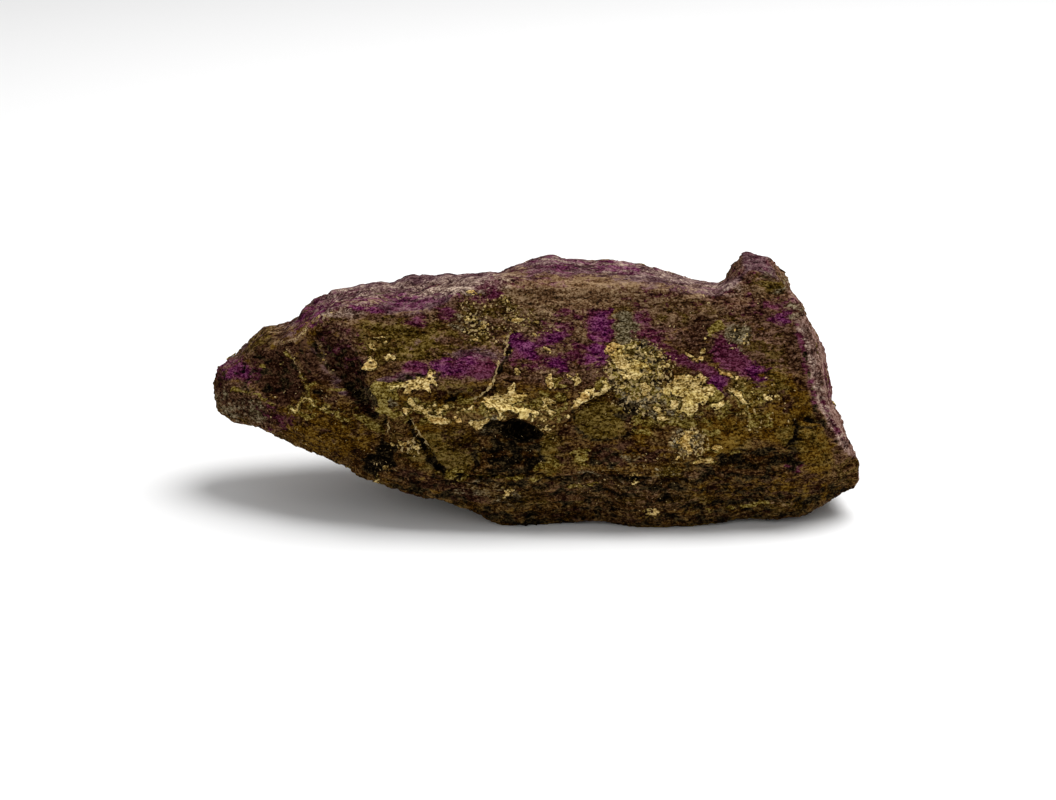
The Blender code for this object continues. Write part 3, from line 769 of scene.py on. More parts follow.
        Blot("knob flank", (770, 290), (16, 9), DENSE),
        Blot("under the pad", (452, 388), (24, 7)),
        Blot("pit, right", (553, 452), (14, 22), DENSE),
        Blot("lower left", (430, 452), (22, 20), DENSE),
        Blot("right field", (760, 385), (30, 20), DENSE),
        Blot("lower right", (790, 436), (14, 10), DENSE),
    ),
    Mark.ROSE: (
        Blot("top brow", (640, 278), (160, 18), DENSE, 3),
        Blot("hump crest", (560, 280), (60, 18), DENSE, -4),
        Blot("knob", (760, 275), (34, 26), DENSE),
        Blot("right upper", (715, 318), (80, 30), DENSE, 4),
        Blot("right flank", (770, 345), (34, 40), PATCHY, 10),
        Blot("middle", (540, 330), (60, 28), PATCHY),
        Blot("middle low", (560, 372), (50, 12), PATCHY),
        Blot("left shelf", (400, 300), (90, 16), DENSE, -6),
        Blot("tip facet", (335, 350), (36, 26), DENSE, 42),
        Blot("left tip", (262, 390), (40, 44), PATCHY),
        Blot("pad surround", (455, 360), (56, 24), PATCHY, -6),
        Blot("left outline", (300, 325), (46, 16), DENSE, -30),
        Blot("lower band", (660, 488), (90, 14), RARE),
        Blot("right end", (822, 380), (14, 70), DENSE, -12),
    ),
    # Painted sheen on the shelf and the hump's top, and painted light on the broken end face
    Mark.PALE: (
        Blot("shelf", (450, 288), (46, 7), SOLID, -5),
        Blot("shelf, left", (372, 292), (34, 5), PATCHY, -8),
        Blot("hump top", (650, 272), (44, 5), PATCHY, 8),
        Blot("hump top, left", (575, 262), (30, 3), RARE, 4),
        Blot("top, right", (700, 284), (24, 4), PATCHY, 10),
        Blot("shelf end", (345, 311), (14, 4), PATCHY, -10),
        Trace("end face", ((803, 330), (812, 360), (819, 392), (830, 420), (846, 446)), 2.4, DENSE, 1.5),
    ),
    Mark.TAN: (
        Blot("brow", (572, 293), (84, 17), 0.9, 1),
        Blot("below the brow", (540, 323), (34, 11), DENSE, 4),
        Blot("between the purples", (560, 348), (13, 9), DENSE),
        Blot("left of the upper patch", (578, 330), (14, 9), DENSE),
        Blot("below the middle", (543, 368), (11, 7), PATCHY),
        Blot("knob foot", (755, 292), (13, 7), DENSE),
        Blot("brow, right", (660, 293), (36, 8), PATCHY),
        Blot("hump flank", (505, 284), (24, 8), PATCHY, -25),
        # Thin lighter lines on the tip's ridges: painted highlights
        Trace("left ridge", (
            (276, 343), (294, 340), (305, 333), (312, 323), (322, 318), (333, 313), (350, 306),
        ), 1.9, SOLID, 6.0),
        Trace("facet ridge", ((287, 347), (294, 361), (301, 376), (306, 386)), 1.5, SOLID, 6.0),
        Trace("second facet ridge", ((314, 338), (321, 347), (325, 361), (332, 376)), 1.4, SOLID, 6.0),
        Trace("tip top", ((256, 337), (274, 331), (292, 326)), 1.2, SPARSE, 1.5),
        Blot("shelf streak", (368, 300), (20, 2.2), DENSE, -8),
        Blot("shelf front", (420, 318), (50, 4), SPARSE, -4),
        Blot("right upper", (690, 312), (30, 8), SPARSE),
        Trace("foot streak", ((722, 500), (745, 505), (768, 500), (790, 503)), 1.0, PATCHY, 1.5),
    ),
    # Painted shade as much as dark stain: the shaded facets and valley, under lumps and ledges, along the
    # bottom band and the foot
    Mark.STAIN_AND_SHADE: (
        Patch("left facet", (
            (250, 356), (256, 352), (273, 349), (288, 350), (294, 362), (299, 376), (303, 392), (298, 399),
            (286, 398), (268, 396), (257, 387), (252, 372),
        ), SOLID, 3.0),
        Patch("first facet", (
            (312, 340), (318, 331), (325, 325), (334, 333), (346, 343), (355, 351), (364, 364), (366, 377),
            (354, 380), (338, 379), (327, 368), (318, 354),
        ), SOLID, 3.0),
        Patch("between the facets", (
            (296, 346), (306, 337), (313, 352), (322, 370), (332, 380), (318, 381), (309, 384), (302, 366),
        ), 1.0, 3.0),
        Patch("valley", (
            (334, 384), (345, 380), (357, 374), (368, 385), (376, 400), (379, 418), (368, 415), (354, 402),
            (343, 391),
        ), SOLID, 3.0),
        Blot("tip, low", (262, 412), (34, 9), DENSE, 22),
        Blot("tip, left", (222, 388), (8, 16), DENSE, -10),
        Blot("below the olive lump", (625, 453), (38, 11), DENSE),
        Blot("left of the olive lump", (566, 440), (8, 20), PATCHY, 10),
        Blot("under the arc", (462, 440), (18, 10), PATCHY, 20),
        Blot("middle right", (702, 334), (17, 20), 0.2),
        Blot("left of the granular zone", (600, 372), (18, 12), PATCHY, 10),
        Blot("middle", (540, 378), (36, 12), SPARSE),
        Blot("lower band, foot", (620, 514), (120, 8), PATCHY),
        Blot("left foot", (440, 486), (60, 8), DENSE, 18),
        Blot("lower band", (600, 488), (110, 10), -0.25),
        Blot("lower band, right", (760, 486), (60, 14), PATCHY),
        Blot("below the ochre", (648, 458), (36, 12), RARE),
        Trace("right edge", (
            (795, 324), (802, 346), (809, 378), (815, 410), (826, 430), (840, 448),
        ), 2.0, SOLID, 2.0),
        Blot("left of the right edge", (796, 356), (7, 34), PATCHY, -12),
        Trace("end groove", ((806, 326), (816, 352), (823, 384)), 0.9, PATCHY, 2.0),
        Blot("left outline", (255, 350), (20, 6), PATCHY, -40),
        Blot("under the pad", (448, 392), (30, 7), PATCHY, -4),
        Blot("left outline, top", (307, 314), (14, 9), SOLID, -35),
        Blot("tip top", (275, 332), (22, 7), PATCHY, -34),
        Blot("below the tip top", (291, 350), (12, 8)),
        Blot("left field", (330, 430), (46, 20), SPARSE, 22),
        Blot("hump flank", (506, 275), (13, 7), PATCHY, -20),
        Blot("tip, middle", (281, 402), (20, 9), SOLID, 5),
        Blot("right of the twin lump", (579, 402), (10, 6), PATCHY),
        Blot("below the ledge", (561, 493), (14, 8), DENSE),
        Blot("below the lump", (614, 457), (18, 10), 1.2),
        Blot("right of the ribbon", (633, 420), (10, 9), DENSE),
        Blot("end face, top", (797, 313), (10, 10), DENSE),
        Blot("foot, middle", (651, 511), (13, 8), PATCHY),
        Blot("below the facets", (327, 402), (13, 8), PATCHY),
        Blot("right of the column", (669, 331), (12, 9), PATCHY),
        Blot("right field", (777, 402), (13, 9), PATCHY),
        Blot("right field, top", (759, 385), (10, 8), SPARSE),
        Blot("right foot", (808, 472), (12, 7), PATCHY),
        Blot("below the knob", (766, 313), (20, 8), DENSE),
    ),
    Mark.FLECKS: (
        Blot("upper scatter", (492, 318), (34, 22), PATCHY, 20),
        Blot("upper scatter, right", (535, 318), (26, 15), SPARSE, 25),
        Blot("upper scatter, dense", (475, 327), (12, 12), DENSE),
        Blot("granular zone", (640, 372), (36, 32), DENSE, 15),
        Blot("low granular zone", (650, 400), (34, 16), PATCHY),
        Blot("grey lump", (690, 442), (20, 16), DENSE),
        Blot("green spot", (738, 337), (13, 12), PATCHY, 30),
        Blot("right scatter", (765, 405), (34, 26), SPARSE),
        Blot("low scatter", (640, 480), (60, 30), RARE),
        Blot("pit, below", (515, 448), (26, 20), RARE),
        Blot("column lumps", (590, 400), (60, 24), RARE),
        Blot("left field", (330, 420), (60, 40), RARE),
        Blot("low left scatter", (410, 447), (14, 8), DENSE),
        Blot("right brow", (700, 310), (50, 16), RARE),
        # Thin pale lines on crack lips, the facet and the ridges: painted highlights
        Trace("crack rim", (
            (474, 399), (484.5, 392), (492, 385), (495.5, 375), (499, 361),
        ), 1.5, SOLID, 14.0),
        Trace("crack rim, high", ((504, 354), (507, 343), (508, 335)), 1.4, SOLID, 14.0),
        Trace("diagonal crack lip", ((410, 419), (416, 429), (421, 437), (427, 445)), 1.4, SOLID, 14.0),
        Trace("left crack lip", ((388, 421), (388, 431)), 1.3, SOLID, 14.0),
        Trace("facet glint", ((321, 347), (325, 361), (333, 377)), 1.2, 0.4, 14.0),
        Trace("left ridge", (
            (280, 343), (294, 340), (304, 334), (310, 325), (320, 318), (332, 313),
        ), 1.3, 0.8, 14.0),
        Trace("facet ridge", ((288, 349), (295, 362), (301, 377)), 1.2, 0.4, 14.0),
        Blot("lower left", (386, 462), (14, 12), SPARSE),
    ),
}




@dataclass(frozen=True)
class HiddenPattern:
    """How often a mark comes back on the sides that the photograph doesn't show.

    Its patches are about length by across millimetres. A higher threshold leaves less of the mark, and so
    does a place more than spread above or below the height middle.
    """

    length: float
    across: float
    threshold: float
    gain: float
    start: float
    top_loss: float = 0.0
    middle: float = 0.0
    spread: float = math.inf
    dimension: float = 1.0
    lacunarity: float = 2.0
    octaves: int = 3

    def depth(self, point: np.ndarray, level: float) -> float:
        """Depth inside the pattern's edge at one point, in millimetres.

        Args:
            point: The place, in millimetres.
            level: How much the surface there is level or broken off, from 0 to 1.

        Returns:
            The depth, less top_loss where the surface is level or broken off.
        """
        place = Vector((point[0] / self.length + self.start, point[1] / self.across, point[2] / self.across))
        loss = self.top_loss * level + ((point[2] - self.middle) / self.spread) ** 2
        height = noise.fractal(place, self.dimension, self.lacunarity, self.octaves)
        return self.gain * (height - self.threshold) - loss


HIDDEN_PATTERNS: dict[Mark, HiddenPattern] = {
    Mark.CREAM: HiddenPattern(11.0, 6.0, 0.52, 9.0, 3.0, 3.0, 25.0, 8.0),
    Mark.YELLOW: HiddenPattern(12.0, 7.0, 0.42, 6.0, 3.3, 3.0, 24.0, 10.0),
    Mark.PURPLE: HiddenPattern(22.0, 9.0, 0.34, 7.0, 11.0, 0.0, 32.0, 12.0),
    Mark.BLACK: HiddenPattern(15.0, 8.0, 0.46, 7.0, 23.0, 2.0),
    Mark.GREY: HiddenPattern(12.0, 8.0, 0.52, 7.0, 31.0, 1.0),
    Mark.RUST: HiddenPattern(22.0, 12.0, 0.12, 6.0, 41.0),
    Mark.OLIVE: HiddenPattern(20.0, 11.0, 0.14, 6.0, 53.0),
    Mark.ROSE: HiddenPattern(24.0, 14.0, 0.12, 6.0, 61.0),
    Mark.PALE: HiddenPattern(18.0, 8.0, 0.46, 6.0, 67.0),
    Mark.TAN: HiddenPattern(18.0, 8.0, 0.36, 6.0, 83.0),
    Mark.VIOLET: HiddenPattern(22.0, 9.0, 0.5, 7.0, 11.0, 0.0, 32.0, 12.0),
    Mark.STAIN_AND_SHADE: HiddenPattern(17.0, 9.0, 0.22, 6.0, 71.0, 1.0),
    Mark.FLECKS: HiddenPattern(12.0, 8.0, 0.32, 5.0, 4.0, 2.0, 25.0, 12.0),
}


@dataclass
class MarkMap:
    """Works out, for every vertex, how deep it lies inside each kind of mark and how far creases lift it.

    The photograph decides where the surface faces the camera by more than seen_fully. A face is level or
    belongs to the broken end where its normal leans that way by more than lean_fully. It belongs to the
    outline where it neither faces the camera nor turns from it by more than outline_fully. The edge of the
    broken end is edge_softness pixels wide.
    """

    seen_from: float = 0.0
    seen_fully: float = 0.12
    lean_from: float = 0.62
    lean_fully: float = 0.9
    edge_softness: float = 2.5
    outline_from: float = 0.6
    outline_fully: float = 0.25
    crease: str = "crease_height"
    swell: str = "outline_swell"
    top: str = "level_top"
    end: str = "broken_end"

    def seen(self, points: np.ndarray, normals: np.ndarray) -> np.ndarray:
        """How much the photograph decides at each vertex, from 0 to 1."""
        facing = VIEW.facing(points, normals)
        return ease((facing - self.seen_from) / (self.seen_fully - self.seen_from))

    def leaning(self, normals: np.ndarray, axis: int) -> np.ndarray:
        """How much each normal leans along an axis, from 0 to 1."""
        return ease((normals[:, axis] - self.lean_from) / (self.lean_fully - self.lean_from))

    def read(self, mesh: bpy.types.Mesh) -> tuple[np.ndarray, np.ndarray]:
        """Points and normals of a mesh's vertices, one row each."""
        rows = []
        for name in ("co", "normal"):
            values = np.empty(len(mesh.vertices) * 3)
            mesh.vertices.foreach_get(name, values)
            rows.append(values.reshape(-1, 3))
        return rows[0], rows[1]

    def write(self, mesh: bpy.types.Mesh, name: str, values: np.ndarray) -> None:
        """Puts one attribute on the mesh, in place of one with the same name."""
        layer = mesh.attributes.get(name) or mesh.attributes.new(name, "FLOAT", "POINT")
        layer.data.foreach_set("value", values.astype(np.float32))

    def store_mark(self, mesh: bpy.types.Mesh, mark: Mark) -> None:
        """Writes how deep each vertex lies inside one kind of mark.

        Args:
            mesh: A mesh of the stone's smooth skin, in metres.
            mark: The kind of mark.
        """
        points, normals = self.read(mesh)
        seen = self.seen(points, normals)
        pixels = VIEW.pixels(points)
        front = np.full(len(points), OUTSIDE)
        for shape in FRONT_MARKS[mark]:
            front = np.maximum(front, shape.depth(pixels))
        pattern = HIDDEN_PATTERNS[mark]
        level = np.maximum(self.leaning(normals, 2), self.leaning(normals, 0))
        hidden = np.array([pattern.depth(point / MM, share) for point, share in zip(points, level)])
        self.write(mesh, mark.value, seen * front + (1 - seen) * np.clip(hidden, OUTSIDE, SOLID))

    def store(self, mesh: bpy.types.Mesh) -> None:
        """Writes every kind of mark, the creases and the leaning faces onto the mesh."""
        for mark in FRONT_MARKS:
            self.store_mark(mesh, mark)
        points, normals = self.read(mesh)
        seen = self.seen(points, normals)
        pixels = VIEW.pixels(points)
        self.write(mesh, self.crease, seen * sum(crease.lift(pixels) for crease in FRONT_CREASES))
        sideways = self.outline_from - np.abs(VIEW.facing(points, normals))
        on_outline = ease(sideways / (self.outline_from - self.outline_fully))
        self.write(mesh, self.swell, on_outline * sum(swell.lift(pixels) for swell in OUTLINE_SWELLS))
        self.write(mesh, self.top, self.leaning(normals, 2))
        past_edge = ease(0.5 - side_distance(END_EDGE, pixels) / self.edge_softness)
        self.write(mesh, self.end, seen * past_edge + (1 - seen) * self.leaning(normals, 0))


@dataclass(frozen=True)
class Fractal:
    """A noise whose marks are about size millimetres along the stone, from front to back and upwards.

    It has detail finer layers, each rough times as strong as the last. It starts start metres into the
    pattern along each axis.
    """

    size: Size
    detail: float
    rough: float
    start: float = 0.0


class Pattern(Enum):
    """The noises that the stone's shape and its colours share."""

    WANDER = Fractal((6.0, 6.0, 6.0), 1.0, 0.55)
    SPLINTERS = Fractal((3.6, 1.8, 0.55), 3.0, 0.6)
    END_SPLINTERS = Fractal((1.2, 0.8, 3.0), 3.0, 0.6, 0.1)
    GRAIN = Fractal((0.6, 0.5, 0.42), 1.5, 0.8, 0.7)
    SAND = Fractal((0.34, 0.28, 0.24), 0.0, 0.5, 0.9)
    CRACKS = Fractal((5.0, 2.6, 1.5), 3.0, 0.6, 0.6)
    NUBS = Fractal((1.5, 1.2, 1.0), 2.0, 0.6, 0.8)
    LUMPS = Fractal((5.0, 3.4, 2.4), 3.0, 0.6, 0.2)
    CRUST_EDGE = Fractal((2.2, 1.6, 1.2), 3.0, 0.5, 0.3)
    STAIN_EDGE = Fractal((3.4, 2.0, 1.5), 4.0, 0.65, 0.4)
    PLATES = Fractal((20.0, 7.0, 5.0), 2.0, 0.5, 0.5)
    PORES = Fractal((0.8, 0.8, 0.8), 1.0, 0.5, 1.1)
    FLECKS = Fractal((0.6, 0.6, 0.6), 1.0, 0.5, 0.9)


class Nodes:
    """Adds nodes to one tree and joins them, so that a tree reads as a formula."""

    def __init__(self, tree: bpy.types.NodeTree) -> None:
        """Starts on an existing tree."""
        self.tree = tree

    def add(self, kind: str, inputs: dict | None = None, **settings: str) -> bpy.types.Node:
        """Adds one node.

        Args:
            kind: The node's type name.
            inputs: Socket names or numbers with a value or an output socket each.
            **settings: The node's own settings.

        Returns:
            The new node.
        """
        node = self.tree.nodes.new(kind)
        for name, value in settings.items():
            setattr(node, name, value)
        for name, value in (inputs or {}).items():
            if isinstance(value, Socket):
                self.tree.links.new(value, node.inputs[name])
            else:
                node.inputs[name].default_value = value
        return node

    def attribute(self, name: str) -> Socket:
        """The value of a mesh attribute, in a shader tree or a geometry tree."""
        if self.tree.bl_idname == "ShaderNodeTree":
            return self.add("ShaderNodeAttribute", attribute_name=name).outputs["Fac"]
        return self.add("GeometryNodeInputNamedAttribute", {"Name": name}, data_type="FLOAT").outputs[0]

    def store(self, geometry: Socket, name: str, value: Socket, kind: str = "FLOAT") -> Socket:
        """The geometry with a value stored on its points, in a geometry tree."""
        inputs = {"Geometry": geometry, "Name": name, "Value": value}
        return self.add("GeometryNodeStoreNamedAttribute", inputs, data_type=kind, domain="POINT").outputs[0]

    def maths(self, operation: str, *values: Value) -> Socket:
        """The result of a Math node on sockets or numbers."""
        return self.add("ShaderNodeMath", dict(enumerate(values)), operation=operation).outputs[0]

    def vector(self, operation: str, *values: Socket | Size) -> Socket:
        """The result of a Vector Math node on sockets or vectors."""
        return self.add("ShaderNodeVectorMath", dict(enumerate(values)), operation=operation).outputs[0]

    def scaled(self, vector: Socket | Size, scale: Socket) -> Socket:
        """A vector times a number."""
        return self.add("ShaderNodeVectorMath", {0: vector, "Scale": scale}, operation="SCALE").outputs[0]

    def upwards(self, place: Socket) -> Socket:
        """The height of a place over the floor, in metres."""
        return self.add("ShaderNodeSeparateXYZ", {0: place}).outputs["Z"]

    def below(self, value: Socket, limit: float) -> Socket:
        """Whether a value is less than a limit, in a geometry tree."""
        return self.add("FunctionNodeCompare", {0: value, 1: limit}, operation="LESS_THAN").outputs[0]

    def random(self, low: Socket | Size, high: Socket | Size, seed: int) -> Socket:
        """A random value for each point between two numbers or two vectors, in a geometry tree."""
        vector = isinstance(low, tuple)
        first = 0 if vector else 2
        node = self.add("FunctionNodeRandomValue", {first: low, first + 1: high, "Seed": seed},
                        data_type="FLOAT_VECTOR" if vector else "FLOAT")
        return node.outputs[0 if vector else 1]

    def total(self, *values: Value) -> Socket:
        """The sum of several values."""
        result = values[0]
        for value in values[1:]:
            result = self.maths("ADD", result, value)
        return result

    def centred(self, value: Socket, height: Value) -> Socket:
        """A 0 to 1 value turned into one around 0, times a height."""
        return self.maths("MULTIPLY", self.maths("SUBTRACT", value, 0.5), height)

    def step(self, value: Socket, low: float, high: float) -> Socket:
        """A smooth step of the value from 0 at low to 1 at high."""
        node = self.add("ShaderNodeMapRange", {"Value": value, "From Min": low, "From Max": high},
                        interpolation_type="SMOOTHSTEP")
        return node.outputs["Result"]

    def between(self, share: Value, first: Value, second: Value) -> Socket:
        """Two values mixed by a share."""
        return self.maths("MULTIPLY_ADD", self.maths("SUBTRACT", second, first), share, first)

    def mix(self, share: Socket, first: Socket, second: Socket | tuple) -> Socket:
        """Two colours mixed by a share."""
        return self.add("ShaderNodeMix", {0: share, 6: first, 7: second}, data_type="RGBA").outputs[2]

    def ramp(self, value: Socket, stops: tuple) -> Socket:
        """A colour ramp.

        Args:
            value: Socket with the place on the ramp.
            stops: Pairs of a place from 0 to 1 and a display colour.

        Returns:
            The colour socket.
        """
        node = self.add("ShaderNodeValToRGB", {0: value})
        elements = node.color_ramp.elements
        elements[0].position, elements[0].color = stops[0][0], linear(stops[0][1])
        elements[1].position, elements[1].color = stops[-1][0], linear(stops[-1][1])
        for place, colour in stops[1:-1]:
            elements.new(place).color = linear(colour)
        return node.outputs["Color"]


@dataclass(frozen=True)
class ToneStrengths:
    """How strongly each pattern makes stone lighter and darker, around the middle of its colours.

    A pair is the strength on rough faces and the one on level or broken faces.
    """

    fibre: Span = (0.8, 1.4)
    grain: Span = (1.2, 0.8)
    cells: Span = (0.5, 0.3)
    sand: float = 0.75
    nubs: float = 0.3
    lumps: float = 0.9
    cracks: float = -0.3
    # Drawn ridges lighter and drawn grooves darker: painted highlight and painted shade
    crease: float = 0.3
    middle: float = 0.53
    fine_grain: float = 1.4
    fine_cells: float = 0.45
    fine_nubs: float = 0.7
    fine_middle: float = 0.5


class StoneNodes(Nodes):
    """Nodes for what the stone's shape and colours share, so that hollows get painted shade and crusts stand
    proud.

    The place is the one before the surface was broken. Sizes are in millimetres, and wander is in metres.
    """

    place_name: str = "unbroken_place"
    wander: Size = (0.004, 0.002, 0.002)
    cell_size: Size = (0.6, 0.44, 0.32)
    cell_edge: float = 0.12
    crack_width: float = 0.016
    strengths: ToneStrengths = ToneStrengths()

    def noise(self, place: Socket, pattern: Pattern, output: str = "Fac") -> Socket:
        """One of the patterns at a place in metres."""
        fractal = pattern.value
        shifted = self.vector("ADD", place, (fractal.start,) * 3)
        scaled = self.vector("MULTIPLY", shifted, tuple(1 / (part * MM) for part in fractal.size))
        return self.add("ShaderNodeTexNoise", {
            "Vector": scaled, "Scale": 1.0, "Detail": fractal.detail, "Roughness": fractal.rough,
        }).outputs[output]

    def wandered(self, place: Socket) -> Socket:
        """The place shifted a little, so that straight layers wander."""
        shift = self.vector("SUBTRACT", self.noise(place, Pattern.WANDER, "Color"), (0.5, 0.5, 0.5))
        return self.vector("ADD", place, self.vector("MULTIPLY", shift, self.wander))

    def fibre(self, place: Socket) -> Socket:
        """Splinters along the stone, which stand upright on the broken end."""
        along = self.noise(self.wandered(place), Pattern.SPLINTERS)
        upright = self.noise(place, Pattern.END_SPLINTERS)
        return self.between(self.attribute(MarkMap.end), along, upright)

    def cells(self, place: Socket) -> Socket:
        """Crisp crumbs, each with a shade of its own from 0 to 1."""
        scaled = self.vector("MULTIPLY", place, tuple(1 / (part * MM) for part in self.cell_size))
        return self.add("ShaderNodeTexVoronoi", {"Vector": scaled, "Scale": 1.0}).outputs["Color"]

    def cracks(self, place: Socket) -> Socket:
        """Thin wandering lines, 1 in their middle."""
        lines = self.noise(self.wandered(place), Pattern.CRACKS)
        away = self.maths("ABSOLUTE", self.maths("SUBTRACT", lines, 0.5))
        return self.maths("SUBTRACT", 1.0, self.step(away, 0.0, self.crack_width))

    def smooth(self) -> Socket:
        """How much a place belongs to the level top or to the broken end."""
        return self.maths("MAXIMUM", self.attribute(MarkMap.top), self.attribute(MarkMap.end))

    def tone(self, place: Socket) -> Socket:
        """What makes splintery stone lighter or darker, around 0.5, with painted highlight on drawn ridges
        and painted shade in drawn grooves.
        """
        smooth = self.smooth()
        return self.total(
            self.centred(self.fibre(place), self.between(smooth, *self.strengths.fibre)),
            self.centred(self.noise(place, Pattern.GRAIN), self.between(smooth, *self.strengths.grain)),
            self.centred(self.cells(place), self.between(smooth, *self.strengths.cells)),
            self.centred(self.noise(place, Pattern.SAND), self.strengths.sand),
            self.centred(self.noise(place, Pattern.NUBS), self.strengths.nubs),
            self.centred(self.noise(place, Pattern.LUMPS), self.strengths.lumps),
            self.maths("MULTIPLY", self.cracks(place), self.strengths.cracks),
            self.maths("MULTIPLY", self.attribute(MarkMap.crease), self.strengths.crease),
            self.strengths.middle,
        )

    def fine_tone(self, place: Socket) -> Socket:
        """What makes grainy stone and crust lighter or darker, around 0.5, with painted highlight on drawn
        ridges and painted shade in drawn grooves.
        """
        return self.total(
            self.centred(self.noise(place, Pattern.GRAIN), self.strengths.fine_grain),
            self.centred(self.noise(place, Pattern.SAND), self.strengths.sand),
            self.centred(self.cells(place), self.strengths.fine_cells),
            self.centred(self.noise(place, Pattern.NUBS), self.strengths.fine_nubs),
            self.maths("MULTIPLY", self.attribute(MarkMap.crease), self.strengths.crease),
            self.strengths.fine_middle,
        )

    def stain_edge(self, place: Socket) -> Socket:
        """What makes the edges of stains ragged and crumbly."""
        ragged = self.noise(self.wandered(place), Pattern.STAIN_EDGE)
        return self.maths("ADD", ragged, self.centred(self.cells(place), self.cell_edge))


@dataclass(frozen=True)
class Speckle:
    """Display colours that one kind of stone shows, from its darkest specks to its lightest.

    The darkest specks have deepest times the dark colour. The lightest go past the light one by the share
    beyond of its distance from the middle one. The places are those of the five colours on a ramp.
    """

    dark: Colour
    middle: Colour
    light: Colour
    deepest: float = 0.4
    beyond: float = 0.6
    places: tuple[float, ...] = (0.08, 0.29, 0.5, 0.72, 0.92)

    def stops(self) -> tuple:
        """The ramp's places and colours."""
        darkest = tuple(self.deepest * part for part in self.dark)
        steps = zip(self.light, self.middle)
        lightest = tuple(min(255, high + self.beyond * (high - middle)) for high, middle in steps)
        return tuple(zip(self.places, (darkest, self.dark, self.middle, self.light, lightest)))


@dataclass(frozen=True)
class Layer:
    """The look of one kind of mark, laid over what is below it.

    Its edge is ragged over ragged millimetres and soft over soft. Rough faces show the mark as if they were
    nowhere less than the depth least inside it. A crumbly one has the crust's edge, a fine one is grainy
    instead of splintery, and a fading one is weaker on the level top.
    """

    mark: Mark
    colours: Speckle
    ragged: float
    soft: float
    least: float = OUTSIDE
    crumbly: bool = False
    fine: bool = False
    fading: bool = False


ROSE_LAYER = Layer(Mark.ROSE, Speckle((53, 30, 17), (79, 52, 38), (114, 84, 70)), 12.0, 1.4)
STONE_LAYERS: tuple[Layer, ...] = (
    Layer(Mark.RUST, Speckle((50, 27, 0), (78, 51, 5), (106, 79, 26)), 6.0, 0.7, -0.8),
    Layer(Mark.OLIVE, Speckle((44, 28, 0), (72, 55, 12), (106, 87, 40)), -6.0, 0.7, -0.5),
    # Dark stain and painted shade, also in patches on every face that is neither level nor the broken end
    Layer(Mark.STAIN_AND_SHADE, Speckle((20, 4, 0), (38, 17, 8), (72, 47, 32)), -7.0, 0.8, -1.2),
    Layer(Mark.TAN, Speckle((72, 47, 26), (100, 73, 49), (132, 106, 78)), 6.0, 0.7),
    Layer(Mark.PALE, Speckle((76, 52, 47), (116, 93, 83), (170, 147, 131)), 5.0, 1.0),
    Layer(Mark.GREY, Speckle((54, 43, 22), (86, 74, 50), (128, 116, 90)), 6.0, 0.6, fine=True),
    Layer(Mark.PURPLE, Speckle((54, 9, 26), (79, 28, 46), (108, 56, 76)), -7.0, 0.7, fading=True),
    Layer(Mark.VIOLET, Speckle((52, 3, 38), (80, 20, 62), (116, 56, 94)), -7.0, 0.9, fading=True),
    # Black stain, and painted shade in the pit, cracks, slits and along the foot
    Layer(Mark.BLACK, Speckle((5, 2, 0), (20, 14, 6), (56, 45, 26)), -6.0, 0.5, crumbly=True),
    Layer(
        Mark.YELLOW, Speckle((60, 42, 3), (104, 86, 30), (142, 124, 66)), 5.0, 0.2, crumbly=True, fine=True,
    ),
)


@dataclass(frozen=True)
class Finish:
    """What the stone's finish and the crust's share: how the surface shines, and a fine bump on it.

    The roughness varies by uneven with the tone. The bump's height is in millimetres.
    """

    name: str
    roughness: float
    specular: float
    uneven: float = 0.15
    bump: float = 0.6
    bump_height: float = 0.4

    def start(self) -> tuple[bpy.types.Material, StoneNodes, Socket]:
        """Starts the material.

        Returns:
            The material, the builder of its nodes, and the socket with the unbroken place.
        """
        material = bpy.data.materials.new(self.name)
        material.use_nodes = True
        nodes = StoneNodes(material.node_tree)
        place = nodes.add("ShaderNodeAttribute", attribute_name=nodes.place_name).outputs["Vector"]
        return material, nodes, place

    def dress(self, nodes: StoneNodes, colour: Socket, tone: Socket) -> None:
        """Gives the material's shader its colour, and a fine unevenness that follows the tone.

        Args:
            nodes: The builder of the material's nodes.
            colour: Socket with the colour.
            tone: Socket that is high on raised grain and low in the gaps.
        """
        shader = nodes.tree.nodes["Principled BSDF"]
        nodes.tree.links.new(colour, shader.inputs["Base Color"])
        rough = nodes.maths("ADD", nodes.centred(tone, self.uneven), self.roughness)
        nodes.tree.links.new(rough, shader.inputs["Roughness"])
        shader.inputs["Specular IOR Level"].default_value = self.specular
        bump = nodes.add("ShaderNodeBump", {
            "Height": tone, "Strength": self.bump, "Distance": self.bump_height * MM,
        })
        nodes.tree.links.new(bump.outputs["Normal"], shader.inputs["Normal"])


